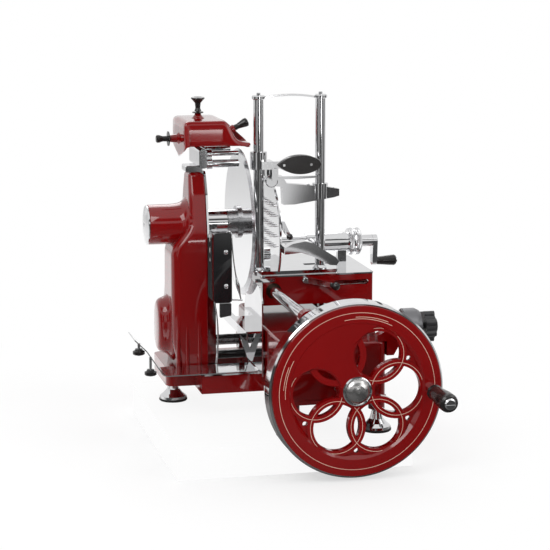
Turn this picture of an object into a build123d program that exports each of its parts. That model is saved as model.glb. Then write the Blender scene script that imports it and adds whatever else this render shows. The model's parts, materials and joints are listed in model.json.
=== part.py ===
from build123d import *
import os
from math import cos, pi, radians, sin, sqrt

# Hand crank flywheel meat slicer, in millimetres.
# X runs along the blade shaft, away from the gear case and towards the feed crank.
# Y runs along the flywheel shaft, from the flywheel to the back, and Z is up.
# The origin is the centre of the underside of the foot below the gear case.
# The flywheel hangs lower than the feet, past the edge of what the feet stand on.

# ---------------------------------------------------------------- common fits
RUN = 0.05            # radial clearance of a shaft in its bush
AIR = 0.3             # air between pieces that move past each other

# ---------------------------------------------------------------- feet
FOOT_H = 44.0         # underside of the pad to the casting
FOOT_R = 29.0
FOOT_NECK_R = 9.0
PAD_H = 5.0
POST_R = 16.0         # round corner post above a foot

# ---------------------------------------------------------------- base
BASE_X0, BASE_X1 = 156.0, 358.0
BASE_Y0, BASE_Y1 = -341.0, 96.0
BASE_Z0, DECK_Z = 62.0, 178.0
BASE_WALL = 9.0
DECK_T = 12.0
ARM_X0 = -24.0        # left end of the arm that carries the gear case
ARM_STEP_X = 33.0     # where the arm widens towards the front
ARM_Y0 = -143.0       # front face of the wide part
ARM_TOP = 80.0
ARM_NARROW_Y = 66.0   # half depth of the narrow part
ARM_RIB = 34.0        # depth of the arm's front and back beams
FEET = [
    (0.0, 0.0),
    (BASE_X0 + POST_R, BASE_Y0 + POST_R),
    (BASE_X1 - POST_R, BASE_Y0 + POST_R),
    (BASE_X1 - POST_R, BASE_Y1 - POST_R),
]

# ---------------------------------------------------------------- shafts
BLADE_X, BLADE_Z = 140.0, 367.0
WHEEL_X, WHEEL_Z = 268.5, 111.0
DRIVE_Y = 40.0        # cross shaft, level with the flywheel shaft
SHAFT_R = 12.0
CROSS_R = 9.0
BUSH_T = 6.0
CROSS_BUSH_T = 3.0

# ---------------------------------------------------------------- flywheel
WHEEL_R = 163.0
WHEEL_Y0 = -453.0     # front face of the rim
RIM_W = 48.0
RIM_T = 12.0
FACE_T = 4.0          # thin front lip in front of the polished band
GROOVE_W = 1.5
BAND_T = 7.0
DISH_R = WHEEL_R - 32.0           # inside this radius the web lies deeper
DISH_DEPTH = 7.0
WEB_T = 8.0
RING_PITCH_R = 0.481 * WHEEL_R    # the tracery grows with the wheel
RING_R = RING_PITCH_R - 33.6      # opening of a tracery ring
RING_BAND = 11.8
RING_RISE = 3.0
RING_COUNT = 6
SOLID_RING = 120      # degrees: this ring is left solid
DROP_R = 4.5
DROP_PITCH_R = DISH_R - 16.0
DROP_ANGLES = (30, 210, 270, 330)
HUB_R = 31.0
HUB_CAP_R = 23.4
HANDLE_ANGLE = -2.0
HANDLE_PITCH_R = WHEEL_R - 18.6   # middle of the flat rim
GRIP_R = 18.0
GRIP_LEN = 94.0
GRIP_STEM_R = 6.0
COLLAR_LEN = 14.0

# ---------------------------------------------------------------- bevel pair and chain
BEVEL_TEETH = 24
BEVEL_R = 30.0        # pitch radius at the large end
BEVEL_FACE = 17.0     # tooth length along the cone
TOOTH_ADD, TOOTH_DED = 2.0, 2.6
CHAIN_PITCH = 7.0
BIG_TEETH, SMALL_TEETH = 36, 12
SPROCKET_X, SPROCKET_T = 46.0, 5.0
CRANK_R = 38.0
INNER_X0, INNER_X1 = 284.0, 298.0   # the cross shaft's inner pedestal
CRANK_X, CRANK_T = 304.0, 7.0
CONROD_LEN = 130.0

# ---------------------------------------------------------------- gear case
CASE_X0, CASE_X1 = -27.0, 62.0
CASE_NECK_X = 22.0
CASE_TOP_Z = 474.0
CASE_TOP_R = 44.0
CASE_SHOULDER_Z = 345.0
CASE_FRONT, CASE_BACK = -62.0, 101.0
CASE_WALL = 6.0
CASE_BODY_TOP = 323.0
BOSS_R = 40.5
BOSS_X0 = -50.0
CAP_RISE = 5.0
LIP_T = 4.0           # polished edge of the cover plate
LIP_OUT = 2.5
FLARE_X = 78.0
FLARE_Z0, FLARE_Z1 = 228.0, 300.0

# ---------------------------------------------------------------- blade
BLADE_R = 150.0
BLADE_T = 4.0
EDGE_T = 0.8
BEVEL_W = 14.0
TUBE_R = 27.0
TUBE_X1 = 112.0
FLANGE_R, FLANGE_T = 33.0, 5.0
COVER_R, COVER_T = 96.0, 3.0

# ---------------------------------------------------------------- plates near the blade
PANEL_Y, PANEL_T = -100.0, 4.0
PANEL_X1 = 104.0
PANEL_Z0, PANEL_Z1 = 218.0, 342.0
GUARD_X, GUARD_T = 149.0, 3.0
GUARD_Y0, GUARD_Y1 = -172.0, -40.0
GUARD_Z0, GUARD_Z1 = 80.0, 258.0
RAIL_X0 = 118.0
RAIL_Z = 172.0
RAIL_Y0, RAIL_Y1 = -167.0, 77.0

# ---------------------------------------------------------------- carriage
CAR_X0, CAR_X1 = 171.0, 402.0
CAR_Y0, CAR_Y1 = -85.0, 115.0
CAR_Z0, CAR_Z1 = 206.0, 264.0
CAR_WALL = 8.0
LOWER_TABLE_T = 3.0
ROD_X, ROD_Z, ROD_R = 193.0, 236.0, 11.0
ROD_Y0, ROD_Y1 = -388.0, 210.0
RUNNER_X, RUNNER_W = 330.0, 16.0
CLAMP_SLOT_X0, CLAMP_SLOT_X1 = 318.0, 392.0
CLAMP_SLOT_Z, CLAMP_SLOT_H = 247.0, 10.0
CLAMP_BOLT_R = 4.0
CLAMP_X, CLAMP_Z = 257.6, 257.0

# ---------------------------------------------------------------- meat table
TABLE_X0, TABLE_X1 = 156.0, 329.0
TABLE_Y0, TABLE_Y1 = -80.0, 112.0
TABLE_T = 8.0
COL_R = 10.3
COL_Y = -62.0
COL_X = (154.0 + COL_R + 3.0, 295.0)
COL_TOP = 622.0
CLAW_X, CLAW_T = 200.0, 5.0
CLAW_R = 118.0
CLAW_Y, CLAW_Z = 8.0, 339.0
FEED_Y, FEED_Z = -15.0, 320.0
FEED_TRAVEL = 68.0
TUBE2_R, TUBE2_BORE = 17.0, 8.0
SCREW_R = 7.0
HOUSING_X0, HOUSING_X1 = 276.0, 392.0
HOUSING_R = 19.5
HOUSING_FOOT_X0, HOUSING_FOOT_X1 = 344.0, 362.0
KNURL_R = 27.0
CRANK_THROW = 43.0
CRANK_ARM_X = 418.0

# ---------------------------------------------------------------- meat press
PRESS_Z = 448.0       # underside of the press arm's root
PRESS_X1 = 333.0
HANDLE_X0, HANDLE_X1 = 195.0, 297.0
HANDLE_Z = 492.0

# ---------------------------------------------------------------- sharpener
HOOD_X0, HOOD_X1 = 16.0, 150.0
HOOD_HALF = 75.0
HOOD_Z0, HOOD_Z1 = 531.0, 581.0
HOOD_WALL = 3.0
NOTCH_Y = -28.0       # the right end is cut away in front of this
STONE_R, STONE_T = 15.0, 7.0
RIGHT_STONE = (108.0, -40.0, 557.0)
RIGHT_AXIS = (cos(radians(25)), 0.0, sin(radians(25)))

# ---------------------------------------------------------------- thickness dial and tray
DIAL_Y, DIAL_Z = -330.0, 203.0
DIAL_R = 36.0
DIAL_X0, DIAL_X1 = 388.0, 424.0
KNOB_R = 30.0
TRAY_Z, TRAY_T = 85.0, 2.0
TRAY_X0, TRAY_X1 = -44.0, 147.0
TRAY_Y0, TRAY_Y1 = -150.0, -70.0
TRAY_BEND = [(-78.0, 138.0), (-102.0, 162.0)]
TRAY_KNOBS = [(-92.0, 130.0, 152.0), (-69.0, 87.0, 123.0)]   # X, underside, tray's height there

# ---------------------------------------------------------------- worked-out places
TABLE_Z0 = CAR_Z1 + LOWER_TABLE_T + AIR
TABLE_Z1 = TABLE_Z0 + TABLE_T
BLADE_FACE = BLADE_X - BLADE_T / 2
WHEEL_Y1 = WHEEL_Y0 + RIM_W
BEVEL_APEX = (WHEEL_X, DRIVE_Y, WHEEL_Z)
BIG_R = CHAIN_PITCH / 2 / sin(pi / BIG_TEETH)
SMALL_R = CHAIN_PITCH / 2 / sin(pi / SMALL_TEETH)


def across(x):
    """Plane at x, drawn in (Y, Z), that extrudes towards +X."""
    return Plane.YZ.offset(x)


def facing(y):
    """Plane at y, drawn in (X, Z), that extrudes towards the flywheel end."""
    return Plane.XZ.offset(-y)


def level(z):
    """Plane at z, drawn in (X, Y), that extrudes upwards."""
    return Plane.XY.offset(z)


def round_x(radius, x0, x1, y, z, mode=Mode.ADD):
    """Adds or cuts a round bar along X."""
    with BuildSketch(across(x0)) as disc:
        with Locations((y, z)):
            Circle(radius)
    extrude(disc.sketch, amount=x1 - x0, mode=mode)


def round_y(radius, y0, y1, x, z, mode=Mode.ADD):
    """Adds or cuts a round bar along Y, from y1 back to y0."""
    with BuildSketch(facing(y1)) as disc:
        with Locations((x, z)):
            Circle(radius)
    extrude(disc.sketch, amount=y1 - y0, mode=mode)


def round_z(radius, z0, z1, x, y, mode=Mode.ADD):
    """Adds or cuts a round bar along Z."""
    with BuildSketch(level(z0)) as disc:
        with Locations((x, y)):
            Circle(radius)
    extrude(disc.sketch, amount=z1 - z0, mode=mode)


def block(x0, x1, y0, y1, z0, z1, mode=Mode.ADD):
    """Adds or cuts a square-edged block between two corners."""
    with BuildSketch(level(z0)) as plan:
        with Locations(((x0 + x1) / 2, (y0 + y1) / 2)):
            Rectangle(x1 - x0, y1 - y0)
    extrude(plan.sketch, amount=z1 - z0, mode=mode)


def turned(points, axis_point, axis_dir, side_dir, mode=Mode.ADD):
    """Revolves a profile of (distance along the axis, radius) points about an axis."""
    plane = Plane(origin=axis_point, x_dir=axis_dir,
                  z_dir=Vector(*axis_dir).cross(Vector(*side_dir)))
    with BuildSketch(plane) as profile:
        with BuildLine():
            Polyline(*points, close=True)
        make_face()
    revolve(profile.sketch, axis=Axis(axis_point, axis_dir), mode=mode)


# ================================================================ feet
with BuildPart() as foot_bells:
    for foot_x, foot_y in FEET:
        turned([(PAD_H, 0), (PAD_H, FOOT_R - 1), (PAD_H + 5, FOOT_R - 1.5), (PAD_H + 11, FOOT_R * 0.70),
                (PAD_H + 19, FOOT_R * 0.46), (FOOT_H - 10, FOOT_NECK_R + 1.5), (FOOT_H - 4, FOOT_NECK_R),
                (FOOT_H, FOOT_NECK_R), (FOOT_H, 0)],
               (foot_x, foot_y, 0), (0, 0, 1), (1, 0, 0))

with BuildPart() as foot_pads:
    for foot_x, foot_y in FEET:
        turned([(0, 0), (0, FOOT_R - 1.5), (1.5, FOOT_R), (PAD_H - 1, FOOT_R), (PAD_H, FOOT_R - 1),
                (PAD_H, 0)],
               (foot_x, foot_y, 0), (0, 0, 1), (1, 0, 0))

# ================================================================ base casting
with BuildPart() as base_casting:
    base_w, base_d = BASE_X1 - BASE_X0, BASE_Y1 - BASE_Y0
    base_mid = ((BASE_X0 + BASE_X1) / 2, (BASE_Y0 + BASE_Y1) / 2)
    with BuildSketch(level(BASE_Z0)):
        with Locations(base_mid):
            RectangleRounded(base_w, base_d, POST_R)
    extrude(amount=DECK_Z - BASE_Z0)
    # skirt bead around the lower edge
    with BuildSketch(level(BASE_Z0)):
        with Locations(base_mid):
            RectangleRounded(base_w + 5, base_d + 5, POST_R + 2.5)
    extrude(amount=8)
    # the arm under the gear case: wide at the front, open between its two beams
    with BuildSketch(level(FOOT_H)) as arm_plan:
        with BuildLine():
            Polyline((ARM_X0, -ARM_NARROW_Y), (ARM_STEP_X, -ARM_NARROW_Y), (ARM_STEP_X, ARM_Y0),
                     (BASE_X0 + 4, ARM_Y0), (BASE_X0 + 4, CASE_BACK + 3),
                     (ARM_X0, CASE_BACK + 3), close=True)
        make_face()
        fillet(arm_plan.vertices().group_by(Axis.X)[0], 18)
    extrude(amount=ARM_TOP - FOOT_H)
    with BuildSketch(level(FOOT_H)) as arm_window:
        window_y0, window_y1 = ARM_Y0 + ARM_RIB, CASE_BACK - ARM_RIB
        with Locations(((FLARE_X + 6 + BASE_X0) / 2, (window_y0 + window_y1) / 2)):
            RectangleRounded(BASE_X0 - FLARE_X - 6, window_y1 - window_y0, 9)
    extrude(amount=ARM_TOP - FOOT_H, mode=Mode.SUBTRACT)
    # hollow underside
    with BuildSketch(level(BASE_Z0)):
        with Locations(base_mid):
            RectangleRounded(base_w - 2 * BASE_WALL, base_d - 2 * BASE_WALL, POST_R - 6)
    extrude(amount=DECK_Z - DECK_T - BASE_Z0, mode=Mode.SUBTRACT)
    # corner posts with the foot studs' seats
    for post_x, post_y in FEET[1:]:
        round_z(POST_R, FOOT_H, DECK_Z - DECK_T / 2, post_x, post_y)
    # flywheel bearing boss on the front wall, and the inner pedestal
    round_y(SHAFT_R + BUSH_T + 9, BASE_Y0 - 14, BASE_Y0 + BASE_WALL + 6, WHEEL_X, WHEEL_Z)
    block(WHEEL_X - 25, WHEEL_X + 25, -66, -44, WHEEL_Z - 30, DECK_Z - DECK_T / 2)
    round_y(SHAFT_R + BUSH_T, BASE_Y0 - 20, -40, WHEEL_X, WHEEL_Z, mode=Mode.SUBTRACT)
    # cross shaft boss on the left wall, and its right pedestal
    round_x(CROSS_R + CROSS_BUSH_T + 7, BASE_X0 - 12, BASE_X0 + BASE_WALL + 4, DRIVE_Y, WHEEL_Z)
    block(INNER_X0, INNER_X1, DRIVE_Y - 15, DRIVE_Y + 16, WHEEL_Z - 20, DECK_Z - DECK_T / 2)
    round_x(CROSS_R + CROSS_BUSH_T, BASE_X0 - 20, INNER_X1 + 1, DRIVE_Y, WHEEL_Z, mode=Mode.SUBTRACT)
    # pocket in the arm for the lower run of the chain
    block(SPROCKET_X - 8, SPROCKET_X + 12, DRIVE_Y - 54, DRIVE_Y + 54, ARM_TOP - 24, ARM_TOP + 1,
          mode=Mode.SUBTRACT)
    # slot in the deck for the carriage link
    with BuildSketch(level(DECK_Z - DECK_T - 1)):
        with Locations((CRANK_X + CRANK_T + 4, -62)):
            SlotOverall(290, 14, rotation=90)
    extrude(amount=DECK_T + 2, mode=Mode.SUBTRACT)
    # rounded shoulder where the deck meets the walls
    deck_rim = base_casting.faces().filter_by(Plane.XY).group_by(Axis.Z)[-1].edges().filter_by(
        GeomType.LINE).group_by(SortBy.LENGTH)[-1]
    fillet(deck_rim, 5)

with BuildPart() as guide_ways:
    # flat polished way under the carriage's right side
    block(RUNNER_X, RUNNER_X + RUNNER_W, BASE_Y0 + 44, BASE_Y1 - 6, DECK_Z, CAR_Z0 - AIR)
    # round rod on the left side
    turned([(0, 0), (0, ROD_R - 1.5), (1.5, ROD_R), (ROD_Y1 - ROD_Y0 - 1.5, ROD_R),
            (ROD_Y1 - ROD_Y0, ROD_R - 1.5), (ROD_Y1 - ROD_Y0, 0)],
           (ROD_X, ROD_Y0, ROD_Z), (0, 1, 0), (1, 0, 0))

with BuildPart() as rod_brackets:
    # a horn at each end of the deck, with an eye around the rod
    front_eye, back_eye = BASE_Y0 - 26, BASE_Y1 + 96
    with BuildSketch(across(ROD_X - 8)):
        with BuildLine():
            Polyline((BASE_Y0 + 44, DECK_Z), (BASE_Y0 + 44, DECK_Z + 10), (BASE_Y0 + 14, DECK_Z + 16),
                     (front_eye + 12, ROD_Z), (front_eye - 12, ROD_Z), (front_eye - 12, ROD_Z - 10),
                     (BASE_Y0 + 4, DECK_Z), close=True)
        make_face()
        with BuildLine():
            Polyline((BASE_Y1 - 46, DECK_Z), (BASE_Y1 - 46, DECK_Z + 10), (back_eye - 14, DECK_Z + 22),
                     (back_eye - 10, ROD_Z), (back_eye + 12, ROD_Z), (back_eye + 12, DECK_Z + 10),
                     (BASE_Y1 - 4, DECK_Z), close=True)
        make_face()
    extrude(amount=16)
    for eye_y in (front_eye, back_eye):
        round_y(ROD_R + 6, eye_y - 12, eye_y + 12, ROD_X, ROD_Z)
    round_y(ROD_R, ROD_Y0 - 1, ROD_Y1 + 1, ROD_X, ROD_Z, mode=Mode.SUBTRACT)
    # angled arm that holds the thickness dial
    with BuildSketch(facing(DIAL_Y + 14)):
        with BuildLine():
            Polyline((340, DECK_Z), (BASE_X1, DECK_Z), (BASE_X1, 150), (372, 150), (DIAL_X0, 178),
                     (DIAL_X0, 228), (372, 228), (352, 196), (340, 190), close=True)
        make_face()
    extrude(amount=22)

# ================================================================ gear case
CASE_OUTLINE = [(CASE_FRONT, ARM_TOP), (CASE_FRONT, CASE_SHOULDER_Z),
                (-CASE_TOP_R, CASE_TOP_Z - CASE_TOP_R),
                (-CASE_TOP_R * 0.55, CASE_TOP_Z), (CASE_TOP_R * 0.55, CASE_TOP_Z),
                (CASE_TOP_R, CASE_TOP_Z - CASE_TOP_R), (-CASE_FRONT, CASE_SHOULDER_Z), (CASE_BACK, 190.0),
                (CASE_BACK, ARM_TOP)]


def case_sketch(plane, grow, top=None):
    """Side outline of the gear case, grown outwards by grow and cut off above top."""
    with BuildSketch(plane) as outline:
        with BuildLine():
            Polyline(*CASE_OUTLINE, close=True)
        make_face()
        fillet(outline.vertices().filter_by(lambda v: v.Y > ARM_TOP + 1), 16)
        if grow:
            offset(amount=grow, kind=Kind.INTERSECTION)
        if top:
            with Locations((0, top + 300)):
                Rectangle(600, 600, mode=Mode.SUBTRACT)
        if grow > 0:
            with Locations((0, ARM_TOP - 50)):
                Rectangle(600, 100, mode=Mode.SUBTRACT)
    return outline.sketch


with BuildPart() as gear_case:
    extrude(case_sketch(across(CASE_NECK_X), 0), amount=CASE_X1 - CASE_NECK_X)
    extrude(case_sketch(across(CASE_X0), -3, top=CASE_BODY_TOP), amount=CASE_NECK_X - CASE_X0)
    block(CASE_X0, CASE_NECK_X, CASE_FRONT + 3, CASE_BACK - 3, ARM_TOP, ARM_TOP + 4)
    case_left = gear_case.faces().sort_by(Axis.X)[0]
    fillet(case_left.edges().filter_by(lambda e: e.center().Z > ARM_TOP + 6), 12)
    # shaft boss, with the polished cap's seat
    round_x(BOSS_R, BOSS_X0, CASE_NECK_X + 6, 0, BLADE_Z)
    # round boss over the cross shaft, with the arched cover above it
    round_x(48, CASE_X0 - 9, CASE_X0 + 10, 8, 172)
    with BuildSketch(across(BOSS_X0)) as arch:
        with Locations((8, 149 + 20)):
            Rectangle(82, 40)
        with Locations((8, 189)):
            Circle(41)
    extrude(amount=CASE_X0 - BOSS_X0 + 10)
    arch_face = gear_case.faces().sort_by(Axis.X)[0:2].sort_by(Axis.Z)[0]
    fillet(arch_face.edges().filter_by(lambda e: e.center().Z > 152), 6)
    # casting ribs down the front
    for rib_x, rib_top in ((-4, 172), (8, 190), (44, 205)):
        block(rib_x - 2.5, rib_x + 2.5, CASE_FRONT - 2, CASE_FRONT + 5, ARM_TOP, rib_top)
    # inside: room for the chain, and the shaft's bearing seat
    with BuildSketch(across(CASE_NECK_X + 8)) as room:
        with BuildLine():
            Polyline(*CASE_OUTLINE, close=True)
        make_face()
        fillet(room.vertices().filter_by(lambda v: v.Y > ARM_TOP + 1), 16)
        offset(amount=-CASE_WALL, kind=Kind.INTERSECTION)
    extrude(amount=CASE_X1 - CASE_NECK_X - 8, mode=Mode.SUBTRACT)
    extrude(case_sketch(across(CASE_X0 + CASE_WALL + 2), -3 - CASE_WALL,
                        top=CASE_BODY_TOP - CASE_WALL - 10),
            amount=CASE_NECK_X - CASE_X0, mode=Mode.SUBTRACT)
    round_x(SHAFT_R + BUSH_T, BOSS_X0 + 2, CASE_NECK_X + 9, 0, BLADE_Z, mode=Mode.SUBTRACT)
    # way through the floor for the lower run of the chain
    block(SPROCKET_X - 8, SPROCKET_X + 12, DRIVE_Y - 54, DRIVE_Y + 54, ARM_TOP - 1, ARM_TOP + CASE_WALL + 1,
          mode=Mode.SUBTRACT)

with BuildPart() as case_plate:
    extrude(case_sketch(across(CASE_X1), LIP_OUT), amount=FLARE_X - CASE_X1)
    with BuildSketch(facing(CASE_BACK + 20)):
        with BuildLine():
            Polyline((CASE_X1 + LIP_T, CASE_TOP_Z + 20), (CASE_X1 + LIP_T, FLARE_Z1), (FLARE_X, FLARE_Z0),
                     (FLARE_X + 20, FLARE_Z0), (FLARE_X + 20, CASE_TOP_Z + 20), close=True)
        make_face()
    extrude(amount=CASE_BACK - CASE_FRONT + 40, mode=Mode.SUBTRACT)
    # hollow back of the thick lower part
    extrude(case_sketch(across(CASE_X1), -CASE_WALL - 2, top=FLARE_Z0 - 12),
            amount=FLARE_X - CASE_X1 - LIP_T, mode=Mode.SUBTRACT)
    round_x(TUBE_R, CASE_X1 - 1, FLARE_X, 0, BLADE_Z, mode=Mode.SUBTRACT)
    round_x(CROSS_R + CROSS_BUSH_T, CASE_X1 - 1, FLARE_X + 1, DRIVE_Y, WHEEL_Z, mode=Mode.SUBTRACT)

with BuildPart() as bearing_tube:
    round_x(TUBE_R, CASE_X1, TUBE_X1, 0, BLADE_Z)
    round_x(SHAFT_R + BUSH_T, CASE_X1 - 1, TUBE_X1 + 1, 0, BLADE_Z, mode=Mode.SUBTRACT)
    tube_ends = bearing_tube.edges().filter_by(GeomType.CIRCLE).filter_by(
        lambda e: e.radius > TUBE_R - 0.1).sort_by(Axis.X)
    chamfer(tube_ends[-1], 0.8)
    # domed cap over the other end of the shaft
    turned([(0, 0), (0, 10), (1.2, 24), (CAP_RISE - 1.2, BOSS_R - 2.5), (CAP_RISE, BOSS_R - 1.0),
            (CAP_RISE + 2, BOSS_R - 1.0), (CAP_RISE + 2, SHAFT_R + BUSH_T - 1), (CAP_RISE + 2, 0)],
           (BOSS_X0 - CAP_RISE - 2, 0, BLADE_Z), (1, 0, 0), (0, 1, 0))

with BuildPart() as shaft_bushes:
    # bronze bushes: two for the blade shaft, two for the flywheel shaft, three for the cross shaft
    for bush_x0, bush_x1 in ((BOSS_X0 + 6, BOSS_X0 + 34), (TUBE_X1 - 30, TUBE_X1 - 2)):
        round_x(SHAFT_R + BUSH_T, bush_x0, bush_x1, 0, BLADE_Z)
        round_x(SHAFT_R + RUN, bush_x0 - 1, bush_x1 + 1, 0, BLADE_Z, mode=Mode.SUBTRACT)
    for bush_x0, bush_x1 in ((CASE_X1 + 12, FLARE_X + 2), (BASE_X0 - 12, BASE_X0 + 12),
                             (INNER_X0, INNER_X1)):
        round_x(CROSS_R + CROSS_BUSH_T, bush_x0, bush_x1, DRIVE_Y, WHEEL_Z)
        round_x(CROSS_R + RUN, bush_x0 - 1, bush_x1 + 1, DRIVE_Y, WHEEL_Z, mode=Mode.SUBTRACT)
    for bush_y0, bush_y1 in ((BASE_Y0 - 14, BASE_Y0 + 14), (-66, -44)):
        round_y(SHAFT_R + BUSH_T, bush_y0, bush_y1, WHEEL_X, WHEEL_Z)
        round_y(SHAFT_R + RUN, bush_y0 - 1, bush_y1 + 1, WHEEL_X, WHEEL_Z, mode=Mode.SUBTRACT)


def chain_loop(plane, grow):
    """The chain's run around both sprockets, grow outside their pitch circles."""
    with BuildSketch(plane) as loop:
        with Locations((0, BLADE_Z)):
            Circle(SMALL_R + grow)
        with Locations((DRIVE_Y, WHEEL_Z)):
            Circle(BIG_R + grow)
        make_hull()
    return loop.sketch


with BuildPart() as drive_chain:
    extrude(chain_loop(across(SPROCKET_X - 1), 7.0), amount=SPROCKET_T + 2)
    extrude(chain_loop(across(SPROCKET_X - 1), 2.6), amount=SPROCKET_T + 2, mode=Mode.SUBTRACT)


def sprocket(teeth, pitch_r, bore_r, y, z):
    """A flat chain wheel with short tapered teeth and a hub."""
    half = CHAIN_PITCH * 0.22
    with BuildSketch(across(SPROCKET_X)) as wheel:
        with Locations((y, z)):
            Circle(pitch_r - 2.4)
            with PolarLocations(pitch_r - 3.0, teeth):
                Polygon((0, -half), (5.0, -half * 0.45), (5.0, half * 0.45), (0, half), align=None)
            Circle(bore_r, mode=Mode.SUBTRACT)
    extrude(wheel.sketch, amount=SPROCKET_T)
    with BuildSketch(across(SPROCKET_X + SPROCKET_T)) as hub:
        with Locations((y, z)):
            Circle(min(bore_r + 5, pitch_r - 2.6))
            Circle(bore_r, mode=Mode.SUBTRACT)
    extrude(hub.sketch, amount=6)


# ================================================================ blade
with BuildPart() as blade:
    turned([(0, SHAFT_R), (0, BLADE_R - BEVEL_W), (BLADE_T - EDGE_T, BLADE_R), (BLADE_T, BLADE_R),
            (BLADE_T, BLADE_R - 24), (BLADE_T - 1.0, BLADE_R - 36), (BLADE_T - 1.0, COVER_R + 2),
            (BLADE_T, COVER_R + 1), (BLADE_T, SHAFT_R)],
           (BLADE_FACE, 0, BLADE_Z), (1, 0, 0), (0, 1, 0))

with BuildPart() as blade_shaft:
    # one turned piece: the shaft, the rotating half of the tube and the dark flange behind the blade
    turned([(0, 0), (0, SHAFT_R - 1), (1, SHAFT_R), (SPROCKET_X - 6 - BOSS_X0 - 5, SHAFT_R),
            (SPROCKET_X - 6 - BOSS_X0 - 5, SHAFT_R - 3), (SPROCKET_X + 12 - BOSS_X0 - 5, SHAFT_R - 3),
            (SPROCKET_X + 12 - BOSS_X0 - 5, SHAFT_R), (TUBE_X1 + AIR - BOSS_X0 - 5, SHAFT_R),
            (TUBE_X1 + AIR - BOSS_X0 - 5, TUBE_R), (BLADE_FACE - FLANGE_T - BOSS_X0 - 5, TUBE_R),
            (BLADE_FACE - FLANGE_T - BOSS_X0 - 5, FLANGE_R), (BLADE_FACE - BOSS_X0 - 5, FLANGE_R),
            (BLADE_FACE - BOSS_X0 - 5, SHAFT_R), (BLADE_FACE + BLADE_T + COVER_T - BOSS_X0 - 5, SHAFT_R),
            (BLADE_FACE + BLADE_T + COVER_T - BOSS_X0 - 5, 0)],
           (BOSS_X0 + 5, 0, BLADE_Z), (1, 0, 0), (0, 1, 0))
    sprocket(SMALL_TEETH, SMALL_R, SHAFT_R - 4, 0, BLADE_Z)

with BuildPart() as blade_cover:
    # polished disc over the clamp screws on the meat side
    turned([(0, SHAFT_R), (0, COVER_R), (1.0, COVER_R), (COVER_T, COVER_R - 6), (COVER_T, SHAFT_R)],
           (BLADE_FACE + BLADE_T, 0, BLADE_Z), (1, 0, 0), (0, 1, 0))

# ================================================================ plates near the blade
with BuildPart() as deflector_panel:
    with BuildSketch(facing(PANEL_Y + PANEL_T / 2)) as panel:
        with Locations(((CASE_X1 + LIP_T + AIR + PANEL_X1) / 2, (PANEL_Z0 + PANEL_Z1) / 2)):
            Rectangle(PANEL_X1 - CASE_X1 - LIP_T - AIR, PANEL_Z1 - PANEL_Z0)
        fillet(panel.vertices(), 7)
    extrude(amount=PANEL_T)
    # two arms that reach back to the cover plate
    for arm_z in (PANEL_Z1 - 34, PANEL_Z1 - 12):
        block(CASE_X1 + LIP_T, CASE_X1 + LIP_T + 7, PANEL_Y, CASE_FRONT + 22, arm_z - 6, arm_z + 6)

with BuildPart() as guard_plate:
    with BuildSketch(across(GUARD_X)) as guard:
        with BuildLine():
            Polyline((GUARD_Y0, GUARD_Z0), (GUARD_Y0, GUARD_Z1 - 26), (GUARD_Y0 + 26, GUARD_Z1),
                     (GUARD_Y1, GUARD_Z1), (GUARD_Y1 + 30, GUARD_Z1 - 60),
                     (GUARD_Y1 + 30, GUARD_Z0), close=True)
        make_face()
        fillet(guard.vertices().filter_by(lambda v: v.Y > GUARD_Z0 + 1), 14)
    extrude(amount=GUARD_T)
    # spacers to the base's left wall
    for spacer_y in (-150, -60):
        round_x(8, GUARD_X + GUARD_T, BASE_X0, spacer_y, 120)

with BuildPart() as side_rail:
    block(RAIL_X0, GUARD_X, RAIL_Y0, GUARD_Y1 + 28, RAIL_Z - 4, RAIL_Z)
    block(RAIL_X0, RAIL_X0 + 4, RAIL_Y0, RAIL_Y1, RAIL_Z - 18, RAIL_Z)
    block(RAIL_X0, RAIL_X0 + 12, GUARD_Y1, RAIL_Y1, RAIL_Z - 4, RAIL_Z)
    round_x(4, RAIL_X0 - 1, RAIL_X0 + 6, RAIL_Y1 - 12, RAIL_Z - 9, mode=Mode.SUBTRACT)
    # slanted strut down to the guard plate
    with BuildSketch(facing(GUARD_Y0 + 114)):
        with BuildLine():
            Polyline((RAIL_X0, RAIL_Z - 2), (RAIL_X0 + 12, RAIL_Z - 2), (GUARD_X, ARM_TOP + 32),
                     (GUARD_X, ARM_TOP + 8), (GUARD_X - 4, ARM_TOP + 8), close=True)
        make_face()
    extrude(amount=8)
    # two round bars that tie the gear case to the base
    round_x(4.5, FLARE_X, BASE_X0, 0, 128)
    round_x(8.5, FLARE_X, BASE_X0, 4, 90)

# ================================================================ receiving tray
with BuildPart() as tray:
    with BuildSketch(facing(TRAY_Y1)):
        with BuildLine() as tray_line:
            FilletPolyline((TRAY_X1, TRAY_Z + TRAY_T / 2),
                           (TRAY_X0, TRAY_Z + TRAY_T / 2), *TRAY_BEND, radius=14)
        trace(tray_line.line, TRAY_T)
    extrude(amount=TRAY_Y1 - TRAY_Y0)
    # pads that lift the tray off the arm's front beam
    for pad_x in (ARM_STEP_X + 16, BASE_X0 - 34):
        block(pad_x - 9, pad_x + 9, ARM_Y0 + 6, ARM_Y0 + 26, ARM_TOP, TRAY_Z)
    # studs of the two thumb knobs under the bent end
    for knob_x, knob_z, tray_z in TRAY_KNOBS:
        round_z(3, knob_z - 2, tray_z + 1, knob_x, TRAY_Y0 + 14)

TRAY_KNOB_PARTS = []
for knob_x, knob_z, tray_z in TRAY_KNOBS:
    with BuildPart() as tray_knob:
        turned([(0, 3 + RUN), (0, 10), (1.5, 12), (7, 12), (9, 8), (12, 7), (12, 3 + RUN)],
               (knob_x, TRAY_Y0 + 14, knob_z), (0, 0, 1), (1, 0, 0))
    TRAY_KNOB_PARTS.append(tray_knob)

# ================================================================ flywheel
RING_ANGLES = range(0, 360, 360 // RING_COUNT)
SPOKES = [(RING_PITCH_R * cos(radians(a)), RING_PITCH_R * sin(radians(a))) for a in RING_ANGLES]
OPEN_SPOKES = [spot for a, spot in zip(RING_ANGLES, SPOKES) if a != SOLID_RING]

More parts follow.
